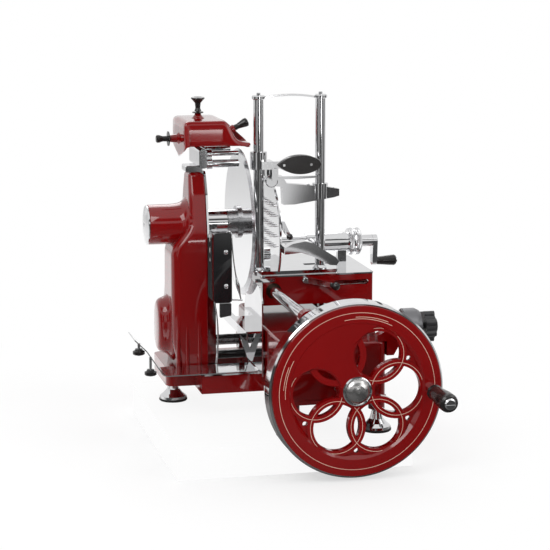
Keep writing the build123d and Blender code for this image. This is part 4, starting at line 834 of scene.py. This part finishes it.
@dataclass
class GearCase:
    """The case's cast skin with its two bosses and ribs, and the screws of its covers.

    The skin is a stack of level sections. At each of the heights in level, the tuples give where its
    front, back and left side stand and the radii of its corners.
    """

    shop: Workshop
    plate_x: float = 66.0
    right: float = 62.0
    top: float = 474.0
    top_edge: float = 8.0
    level: tuple[float, ...] = (62.0, 96.0, 130.0, 170.0, 235.0, 322.0, 345.0, 366.0, 430.0, 474.0)
    front: tuple[float, ...] = (-62.0, -62.0, -62.0, -62.0, -62.0, -62.0, -61.0, -57.0, -44.0, -27.0)
    back: tuple[float, ...] = (101.0, 101.0, 101.0, 98.0, 68.0, 61.0, 60.0, 57.0, 44.0, 27.0)
    left: tuple[float, ...] = (2.0, 0.0, -9.0, -10.0, -10.0, -10.0, 8.0, 27.0, 29.0, 31.0)
    rear_edge: tuple[float, ...] = (40.0, 40.0, 40.0, 40.0, 38.0, 36.0, 30.0, 24.0, 18.0, 10.0)
    front_edge: tuple[float, ...] = (16.0, 16.0, 17.0, 18.0, 18.0, 18.0, 17.0, 14.0, 12.0, 9.0)
    arch_centre: tuple[float, float] = (6.0, 158.0)
    arch_stretch: float = 17.0
    shaft_z: float = 367.0
    ribs: tuple[tuple[float, float], ...] = ((1.0, 186.0), (19.0, 200.0), (44.0, 214.0))

    def smooth(self, heights: Array, values: Sequence[float], reach: float = 9.0) -> Array:
        """Values between the named levels, averaged over reach to each side, so no bend is sharp.

        Args:
            heights: Where the values are wanted.
            values: One for each of the named levels.
            reach: Half the height that is averaged over.

        Returns:
            One value for each height.
        """
        offsets = np.linspace(-reach, reach, 13)
        return np.interp(heights[:, None] + offsets, self.level, values).mean(axis=1)

    def skin(self) -> Surface:
        """Level sections up the case: a box with four rounded corners, drawn in at the top edge.

        The inset at the top is a quarter circle: edge * (1 - sqrt(1 - h^2)), h from 0 to 1 over it.

        Returns:
            The sections, closed to a point at the bottom and at the top.
        """
        edge = self.top_edge
        round_top = self.top - edge * (1 - np.sin(np.linspace(0.2, math.pi / 2, 7)))
        heights = np.concatenate([np.linspace(self.level[0], self.top - edge, 110), round_top])
        past = ((heights - self.top + edge) / edge).clip(0)
        inset = edge * (1 - np.sqrt(np.clip(1 - past ** 2, 0, 1)))
        front = self.smooth(heights, self.front) + inset
        back = self.smooth(heights, self.back) - inset
        left = self.smooth(heights, self.left, 14.0) + inset
        right = np.full_like(heights, self.right) - inset
        crisp = np.full_like(heights, 2.0)
        corners = ((left, front, self.smooth(heights, self.front_edge), 1, 1, math.pi),
                   (right, front, crisp, -1, 1, 1.5 * math.pi),
                   (right, back, crisp, -1, -1, 0.0),
                   (left, back, self.smooth(heights, self.rear_edge), 1, -1, 0.5 * math.pi))
        rounds = []
        for x, y, radius, toward_x, toward_y, start in corners:
            reach = np.minimum(radius, 0.48 * (back - front))[:, None]
            angle = start + np.linspace(0, math.pi / 2, 12)[None]
            ring = np.stack([x[:, None] + reach * (toward_x + np.cos(angle)),
                             y[:, None] + reach * (toward_y + np.sin(angle))], axis=-1)
            rounds.append(ring)
        sides = []
        for ring, following in zip(rounds, rounds[1:] + rounds[:1]):
            sides.append(ring)
            gap = following[:, :1] - ring[:, -1:]
            sides += [ring[:, -1:] + gap * share for share in (0.06, 0.5, 0.94)]
        flat = np.concatenate(sides, axis=1)
        levels = np.broadcast_to(heights[:, None, None], (*flat.shape[:2], 1))
        points = np.concatenate([flat, levels], axis=-1)
        ends = [np.broadcast_to(points[i].mean(axis=0), (1, points.shape[1], 3)) for i in (0, -1)]
        return Surface(np.concatenate([ends[0], points, ends[1]]))

    def bosses(self) -> list[Surface]:
        """The shaft's boss with its flared root, and the tall boss over the cross shaft.

        Returns:
            Two turned surfaces, the second drawn out in height by stretch * tanh(height / 14).
        """
        shaft = [(-50.0, 0.0), (-50.0, 38.0), (-49.3, 39.6), (-48.0, 40.5), (-6.0, 40.8), (6.0, 41.6),
                 (14.0, 43.0), (20.0, 45.5), (25.0, 49.5), (28.0, 54.0), (36.0, 54.0), (36.0, 0.0)]
        arch = [(-33.0, 0.0), (-33.0, 26.0), (-32.0, 31.5), (-29.5, 35.5), (-25.5, 38.5), (-20.0, 40.6),
                (-15.0, 42.6), (-11.0, 45.6), (-8.0, 49.6), (-5.5, 55.0), (2.0, 58.0), (2.0, 0.0)]
        cover = turned(arch, (0.0, *self.arch_centre), ACROSS, 120)
        away = cover.points[..., 2] - self.arch_centre[1]
        cover.points[..., 2] += self.arch_stretch * np.tanh(away / 14.0)
        return [turned(shaft, (0.0, 0.0, self.shaft_z), ACROSS, 96), cover]

    def rib(self, x: float, top: float) -> Surface:
        """A half-sunk rib up the front, that tapers and leans into the casting at its top.

        Args:
            x: Where its foot stands.
            top: The height that it ends at.

        Returns:
            A round bar on the path x + 1.5 t^2, front + 1.5 + 5.5 t^3, foot + (top - foot) t.
        """
        share = np.linspace(0, 1, 24)
        foot, front = 81.0, self.front[0]
        path = np.stack([x + 1.5 * share ** 2, front + 1.5 + 5.5 * share ** 3, foot + (top - foot) * share],
                        axis=-1)
        return carried(path, 5.0 - 1.8 * share, 20)

    def build(self) -> None:
        """Makes every piece; the skin stands in for the plain casting."""
        cast = [self.skin(), *self.bosses(), *[self.rib(*rib) for rib in self.ribs]]
        skin = self.shop.emit("gear_case_skin", cast, Finish.RED_ENAMEL, "frame", sharp_deg=50.0)
        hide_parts("gear_case")
        spots = [(-48.0, 330.0), (48.0, 330.0), (-34.0, 424.0), (34.0, 424.0)]
        heads = [self.shop.screw((self.plate_x, y, z), ACROSS, 4.2, 2.0) for y, z in spots]
        self.shop.emit("cover_plate_screws", heads, Finish.CHROME, "frame")
        edge = bezier([(67.0, -63.4, 236.0), (81.0, -64.6, 212.0), (86.0, -64.6, 150.0),
                       (78.0, -64.6, 84.0)])
        rim = carried(edge, np.linspace(0.8, 2.2, len(edge)))
        self.shop.emit("cover_plate_edge", rim, Finish.CHROME, "frame")
        cap = self.shop.screw((-56.8, 0.0, self.shaft_z), (-1, 0, 0), 5.0, 1.6)
        self.shop.emit("end_cap_screw", cap, Finish.CHROME, "frame")


@dataclass
class Hood:
    """The sharpener's hood: a pressed shell with soft edges, its cone and its stone bosses.

    front_line and back_line are its outlines in (X, Z) before and behind the notch, from the left wall's
    foot. skirt is how far the left wall's lower edge drops along Y.
    """

    shop: Workshop
    left: float = 16.0
    half: float = 75.0
    low: float = 531.0
    high: float = 581.0
    edge: float = 9.0
    bend: float = 12.0
    notch: float = -28.0
    lean: float = 9.0
    wall: float = 2.6
    tilt: float = 25.0
    front_line: Profile = ((0, 0), (0, 50), (86, 50), (96, 30), (103, 16), (112, 9), (134, 5), (134, 0))
    back_line: Profile = ((0, 0), (0, 50), (86, 50), (104, 33), (118, 20), (128, 11), (134, 5), (134, 0))
    skirt: Profile = ((-75, 0), (-63, -8), (0, -26), (63, -8), (75, 0))

    def line(self, corners: Profile) -> Array:
        """An outline in (X, Z) with all but its ends rounded, at even steps along it.

        Args:
            corners: Its corners.

        Returns:
            Its points.
        """
        points: list[Array] = []
        corner = np.asarray(corners, float)
        for index, here in enumerate(corner):
            if index in (0, len(corner) - 1):
                points.append(here[None])
                continue
            before, after = corner[index - 1] - here, corner[index + 1] - here
            reach = min(self.bend, 0.48 * np.linalg.norm(before), 0.48 * np.linalg.norm(after))
            points.append(bezier((here + reach * unit(before), here, here + reach * unit(after)), 8))
        path = np.concatenate(points)
        length = np.concatenate([[0], np.cumsum(np.linalg.norm(np.diff(path, axis=0), axis=1))])
        steps = np.linspace(0, length[-1], 90)
        return np.stack([np.interp(steps, length, path[:, axis]) for axis in (0, 1)], axis=-1)

    def shell(self) -> Surface:
        """Rows from the front wall's foot over the soft edge, along Y and down the back wall.

        A row is an outline moved inwards by its inset and scaled in height by its share. The walls lean
        in by lean * (height / full height) * (|y| / half)^8.

        Returns:
            The open sheet, which a Solidify modifier makes a wall.
        """
        half, edge = self.half, self.edge
        turn = np.linspace(0, math.pi / 2, 7)
        rows: list[tuple[float, float, float]] = [(-half, edge, share) for share in (0, 0.25, 0.5, 0.75, 1)]
        rows += [(-half + edge * (1 - math.cos(a)), edge * (1 - math.sin(a)), 1.0) for a in turn[1:]]
        rows += [(y, 0.0, 1.0) for y in (-50.0, self.notch - 0.6, self.notch + 0.6, 0.0, 35.0)]
        rows += [(half - edge * (1 - math.cos(a)), edge * (1 - math.sin(a)), 1.0) for a in turn[::-1]]
        rows += [(half, edge, share) for share in (0.75, 0.5, 0.25, 0)]
        grid = []
        for y, inset, share in rows:
            line = self.line(self.front_line if y < self.notch else self.back_line)
            tangent = np.gradient(line, axis=0)
            inward = np.stack([tangent[:, 1], -tangent[:, 0]], axis=-1)
            inward /= np.linalg.norm(inward, axis=1, keepdims=True)
            line = line + inset * inward
            lean = self.lean * (line[:, 1] / (self.high - self.low)).clip(0, 1) * (abs(y) / half) ** 8
            line[:, 1] = line[:, 1].clip(0) * share
            drop = np.interp(y, *np.transpose(self.skirt)) * (1 - (line[:, 1] / 38.0).clip(0, 1))
            line[:, 1] += np.where(line[:, 0] < inset + 2.0, drop, 0.0) * (share > 0.99)
            grid.append(np.stack([self.left + line[:, 0], y - np.sign(y) * lean, self.low + line[:, 1]],
                                 axis=-1))
        return Surface(np.array(grid), around=False)

    def build(self) -> None:
        """Makes the shell and its bosses; they stand in for the plain hood."""
        shell = self.shop.emit("hood_shell", self.shell(), Finish.RED_ENAMEL, "sharpener_hood",
                               sharp_deg=45.0)
        thick = shell.modifiers.new("wall", "SOLIDIFY")
        thick.thickness, thick.offset = self.wall * MM, -1.0
        cone = [(-2.0, 0.0), (-2.0, 13.5), (0.5, 13.0), (2.5, 10.5), (6.0, 7.4), (11.0, 5.6), (11.0, 0.0)]
        stone = [(-19.0, 4.2), (-19.0, 7.0), (-16.0, 7.4), (-4.0, 9.0), (-1.0, 12.0), (1.0, 14.0),
                 (1.0, 4.2), (-19.0, 4.2)]
        tilted = [(0.0, 4.2), (0.0, 8.0), (15.0, 8.0), (16.0, 7.0), (16.0, 4.2), (0.0, 4.2)]
        tilt = math.radians(self.tilt)
        bosses = [turned(cone, (56.0, 0.0, self.high), UPWARD, 48),
                  turned(stone, (self.left, 0.0, 541.0), ACROSS, 48),
                  turned(tilted, (108.0, -40.0, 557.0), (math.cos(tilt), 0, math.sin(tilt)), 48)]
        self.shop.emit("hood_bosses", bosses, Finish.RED_ENAMEL, "sharpener_hood")
        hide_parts("sharpener_hood")


@dataclass
class FeedTrim:
    """Knurling on the feed unit's rings."""

    shop: Workshop
    origin: Point = (365.0, -15.0, 320.0)
    radius: float = 27.0
    ridge_count: int = 72
    ridge_depth: float = 0.028

    def build(self) -> None:
        """Two ribbed bands just proud of the turned rings."""
        for index, start in enumerate((2.0, 16.5)):
            profile = [(start, self.radius - 0.6), (start + 0.8, self.radius), (start + 6.8, self.radius),
                       (start + 7.6, self.radius - 0.6)]
            band = turned(profile, self.origin, ACROSS, 4 * self.ridge_count,
                          radial=ridges(self.ridge_count, self.ridge_depth))
            self.shop.emit(f"knurl_{index + 1}", band, Finish.CHROME, "carriage")


@dataclass
class TableTrim:
    """Foot rings of the two columns, the press's screws and the clamp lever's pivot screw."""

    shop: Workshop
    columns: tuple[float, float] = (167.3, 295.0)
    column_y: float = -62.0

    def build(self) -> None:
        """Makes every piece."""
        foot = [(0.0, 10.3), (0.0, 15.0), (2.2, 15.0), (4.0, 13.0), (6.0, 11.2), (7.0, 10.4)]
        rings = [turned(foot, (x, self.column_y, 275.3), UPWARD, 48) for x in self.columns]
        self.shop.emit("column_feet", rings, Finish.CHROME, "feed_table")
        heads = [self.shop.screw((x, self.column_y, z), UPWARD, 3.4, 2.0)
                 for x, z in ((270.0, 447.0), (322.0, 438.4))]
        self.shop.emit("press_screws", heads, Finish.STEEL, "press")
        pivot = self.shop.screw((257.6, -92.3, 257.0), FORWARD, 5.0, 2.4)
        self.shop.emit("clamp_pivot_screw", pivot, Finish.CHROME, "clamp_lever")


@dataclass
class BaseTrim:
    """The bolts of the flywheel shaft's front bearing."""

    shop: Workshop
    bearing: Point = (268.5, -355.0, 111.0)
    circle: float = 23.0

    def build(self) -> None:
        """Four bolt heads round the bearing."""
        x, y, z = self.bearing
        bolts = [self.shop.nut((x + self.circle * math.cos(a), y, z + self.circle * math.sin(a)),
                               FORWARD, 3.4, 3.4) for a in np.radians((45, 135, 225, 315))]
        self.shop.emit("bearing_bolts", bolts, Finish.STEEL, "frame")


@dataclass
class SharpenerBracket:
    """The sharpener's bracket: rounded blocks, a post and stepped rods; and the tie bars' black paint."""

    shop: Workshop
    rods: tuple[tuple[float, float, float], ...] = ((-40.0, 513.0, 5.0), (-42.0, 493.0, 8.0),
                                                    (40.0, 513.0, 5.0))
    rod_ends: tuple[float, float] = (62.0, 131.0)
    tie_bars: tuple[tuple[float, float, float], ...] = ((0.0, 128.0, 4.9), (4.0, 90.0, 8.9))
    tie_ends: tuple[float, float] = (78.2, 155.8)

    def rod(self, y: float, z: float, radius: float) -> Surface:
        """One rod along X with its collar, a groove behind the collar and a rounded end.

        Args:
            y: Where its axis is.
            z: Where its axis is.
            radius: The rod's.

        Returns:
            The turned rod.
        """
        start, end = self.rod_ends
        length = end - start
        steps = [(0.0, 0.0), (0.0, radius + 1.0), (4.0, radius + 1.0), (4.6, radius + 3.0),
                 (13.2, radius + 3.0),
                 (14.0, radius + 2.2), (14.0, radius - 0.6), (16.5, radius - 0.6), (17.0, radius),
                 (length - 2.0, radius), (length - 0.6, radius - 0.6), (length, radius - 2.0),
                 (length, 0.0)]
        return turned(steps, (start, y, z), ACROSS, 48)

    def build(self) -> None:
        """Makes both pieces."""
        foot = plate(rectangle(26.0, 60.0, 474.0, 487.0), -22.0, 22.0, 3.0)
        arm = plate(rectangle(48.0, 64.0, 485.0, 524.0), -54.0, 56.0, 6.5)
        rise = [(0.0, 0.0), (0.0, 6.0), (48.4, 6.0), (50.0, 4.8), (50.0, 0.0)]
        post = turned(rise, (56.0, 45.0, 522.0), UPWARD)
        parts = [foot, arm, post, *[self.rod(*sizes) for sizes in self.rods]]
        skin = self.shop.emit("bracket_skin", parts, Finish.CHROME, "frame")
        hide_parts("sharpener_bracket")
        start, end = self.tie_ends
        paint = [turned([(start, radius - 0.6), (start, radius), (end, radius), (end, radius - 0.6)],
                        (0.0, y, z), ACROSS) for y, z, radius in self.tie_bars]
        self.shop.emit("tie_bar_paint", paint, Finish.BLACK_ENAMEL, "frame")


# ---------------------------------------------------------------- studio
@dataclass(frozen=True)
class Lamp:
    """A soft lamp, in metres and watts. Its size is its width and its height."""

    name: str
    place: Point
    target: Point
    size: tuple[float, float]
    power: float

    def build(self) -> None:
        """Puts the lamp at its place, turned to its target."""
        data = bpy.data.lights.new(self.name, "AREA")
        data.shape, data.energy = "RECTANGLE", self.power
        data.size, data.size_y = self.size
        lamp = placed(self.name, data)
        lamp.location = self.place
        aim = Vector(self.target) - Vector(self.place)
        lamp.rotation_euler = aim.to_track_quat("-Z", "Y").to_euler()


def grey(level: float) -> Colour:
    """The grey of this level, 0 to 1."""
    return (level, level, level)


@dataclass
class Studio:
    """Camera, lamps, floor, plinth and backdrop. The camera's place and floor_z are in millimetres.

    The strips are bright and stand upright round the front half of the room. Each runs from start to end
    of x / -y, a direction's X over its distance to the front. room_levels gives the room's grey by height.
    """

    camera_place: Point = (-670.1, -3809.5, 977.3)
    camera_tilt: float = 79.5
    camera_turn: float = -13.09
    lens: float = 126.0
    floor_z: float = -62.0
    floor_half: float = 6.0
    plinth_x: tuple[float, float] = (-0.06, 0.40)
    plinth_y: tuple[float, float] = (-0.375, 0.16)
    plinth_top: float = -0.0004
    paint: float = 0.9
    white: float = 1.0
    bright: float = 0.95
    mirrored: float = 0.04
    strip_spans: Profile = ((-1.72, -1.3), (-0.90, -0.62), (0.225, 0.30), (0.92, 1.64))
    strip_soft: float = 0.02
    room_levels: Profile = ((0.44, 0.08), (0.59, 0.05), (0.615, 0.95), (0.70, 0.95), (0.725, 0.06),
                            (0.80, 0.08), (0.86, 1.0))
    lamps: tuple[Lamp, ...] = (
        Lamp("key", (-1.6, -1.9, 2.3), (0.15, -0.1, 0.25), (1.6, 1.6), 34.0),
        Lamp("fill", (2.0, -1.7, 1.5), (0.15, -0.1, 0.25), (1.8, 1.8), 18.0),
        Lamp("card", (0.67, -2.93, 0.30), (0.073, -0.06, 0.555), (0.32, 0.13), 1.0),
        Lamp("back", (0.3, 2.2, 2.2), (0.15, 0.0, 0.3), (1.6, 1.6), 22.0))

    def camera(self) -> None:
        """The camera at the photograph's place."""
        data = bpy.data.cameras.new("camera")
        data.lens, data.sensor_width = self.lens, 36.0
        data.clip_start, data.clip_end = 0.05, 60.0
        camera = placed("camera", data)
        camera.location = tuple(MM * v for v in self.camera_place)
        camera.rotation_euler = (math.radians(self.camera_tilt), 0.0, math.radians(self.camera_turn))
        bpy.context.scene.camera = camera

    def stage_material(self, name: str, near: float) -> bpy.types.Material:
        """A matte pale surface that turns plain white to the camera away from the machine. To glossy rays
        in front of the machine its colour is a painted reflection: dark grey with bright strips and
        blotches that stand in for softboxes.

        Args:
            name: The material's name.
            near: How much of the plain white it has close to the machine, 0 to 1.

        Returns:
            The material. Shadows stay on it where near is less than 1.
        """
        shader = Shader(name)
        x, y, _ = shader.axes(shader.coords)
        # Painted reflection: glossy rays in front of the machine see dark grey with bright strips and
        # blotches, standing in for softboxes in a dark room.
        reflection_blotches = ((shader.noise(1.1, 0.0, (1.4, 0.8, 1.0)) - 0.5) * 6.0).clamp() * 0.12
        strips = self.strips(shader, x, y) * ((-2.2 - y) * 1.2).clamp()
        seen = shader.mix(strips + reflection_blotches * (1 - strips), grey(self.mirrored), grey(self.paint))
        glossy = shader.node("ShaderNodeLightPath", {}, output="Is Glossy Ray") * ((0.2 - y) * 1.6).clamp()
        shader.set(Base_Color=shader.mix(glossy, grey(self.paint), seen), Roughness=0.9,
                   Specular_IOR_Level=0.1)
        reach = shader.node("ShaderNodeVectorMath", {"operation": "LENGTH"}, shader.coords, output="Value")
        share = ((reach - 0.45) * 2.2).clamp() * (1.0 - near) + near
        camera = shader.node("ShaderNodeLightPath", {}, output="Is Camera Ray")
        plain = shader.node("ShaderNodeEmission", {}, grey(self.white), 1.0)
        shader.end("ShaderNodeOutputMaterial", shader.node("ShaderNodeMixShader", {}, share * camera,
                                                           shader.surface, plain))
        return shader.material

    def strips(self, nodes: Nodes, x: Sock, y: Sock) -> Sock:
        """The strips, for a direction.

        Args:
            nodes: The tree that they go into.
            x: The direction's X.
            y: The direction's Y, negative in front.

        Returns:
            1 on a strip and 0 beside it.
        """
        edges, soft = [], self.strip_soft
        for start, end in self.strip_spans:
            edges += [(start - soft, 0.0), (start, 1.0), (end, 1.0), (end + soft, 0.0)]
        stops = [(0.25 * place + 0.5, grey(share)) for place, share in edges]
        return nodes.node("ShaderNodeValToRGB", {"stops": stops}, x / (y * -1.0) * 0.25 + 0.5)

    def stand(self, name: str, corners: list[Point], faces: list[tuple[int, ...]],
              near: float) -> bpy.types.Object:
        """One piece of the stage, with a paint of its own.

        Args:
            name: Its name.
            corners: Its corners in metres.
            faces: The corners of each face.
            near: As for stage_material.

        Returns:
            The object.
        """
        mesh = bpy.data.meshes.new(name)
        mesh.from_pydata(corners, [], faces)
        mesh.materials.append(self.stage_material(f"{name}_paint", near))
        return placed(name, mesh)

    def floor(self) -> None:
        """A wide floor under the flywheel, and a low plinth under the four feet."""
        half, low = self.floor_half, self.floor_z * MM
        corners = [(-half, -half, low), (half, -half, low), (half, half, low), (-half, half, low)]
        floor = self.stand("floor", corners, [(0, 1, 2, 3)], 0.55)
        (x0, x1), (y0, y1) = self.plinth_x, self.plinth_y
        corners = [(x, y, z) for z in (low, self.plinth_top)
                   for x, y in ((x0, y0), (x1, y0), (x1, y1), (x0, y1))]
        sides = [(0, 3, 2, 1), (4, 5, 6, 7), (0, 1, 5, 4), (1, 2, 6, 5), (2, 3, 7, 6), (3, 0, 4, 7)]
        plinth = self.stand("plinth", corners, sides, 0.9)

    def world(self) -> None:
        """A white backdrop for the camera, and a softly graded room for the light and the reflections."""
        world = bpy.data.worlds.new("studio")
        world.use_nodes = True
        bpy.context.scene.world = world
        nodes = Nodes(world.node_tree)
        x, y, z = nodes.axes(nodes.node("ShaderNodeTexCoord", {}, output="Generated"))
        stops = [(place, grey(shade)) for place, shade in self.room_levels]
        level = nodes.node("ShaderNodeValToRGB", {"stops": stops}, z * 0.5 + 0.5)
        strips = self.strips(nodes, x, y) * ((0.3 - z) * 8.0).clamp()
        front = nodes.mix(strips, level, grey(self.bright))
        behind = nodes.node("ShaderNodeMapRange", {"interpolation_type": "SMOOTHSTEP"}, y, -0.12, 0.35)
        room = nodes.node("ShaderNodeBackground", {}, nodes.mix(behind, front, grey(self.bright)), 0.9)
        backdrop = nodes.node("ShaderNodeBackground", {}, grey(self.white), 1.0)
        camera = nodes.node("ShaderNodeLightPath", {}, output="Is Camera Ray")
        nodes.end("ShaderNodeOutputWorld", nodes.node("ShaderNodeMixShader", {}, camera, room, backdrop))

    def build(self) -> None:
        """Sets up the whole studio."""
        self.camera()
        self.world()
        self.floor()
        for lamp in self.lamps:
            lamp.build()
        bpy.context.scene.view_settings.view_transform = "Standard"


def dress_nodes(frame: dict[str, Any], palette: Palette) -> None:
    """Gives every CAD node the finish of its material slot.

    Args:
        palette: The finishes.
    """
    for entry in frame["record"]["subparts"]:
        mesh = frame["nodes"][entry["node"]].data
        mesh.materials.clear()
        finish = Finish.SATIN if entry["node"] == "hub_cap" else Finish(entry["material_slot"])
        mesh.materials.append(palette.get(finish))
        mesh.shade_smooth()
        mesh.set_sharp_from_angle(angle=math.radians(30))


def main() -> None:
    """Loads the frame, dresses it, adds the trim and sets up the studio."""
    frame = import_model()
    palette = Palette(blade_centre=(140.0, 0.0, 367.0), bevel_radius=135.5)
    shop = Workshop(palette)
    dress_nodes(frame, palette)
    for trim in (FlywheelTrim, BladeTrim, FeedTrim, TableTrim, BaseTrim, GearCase, Hood, SharpenerBracket):
        trim(shop).build()
    Studio().build()


if __name__ == "__main__":
    main()
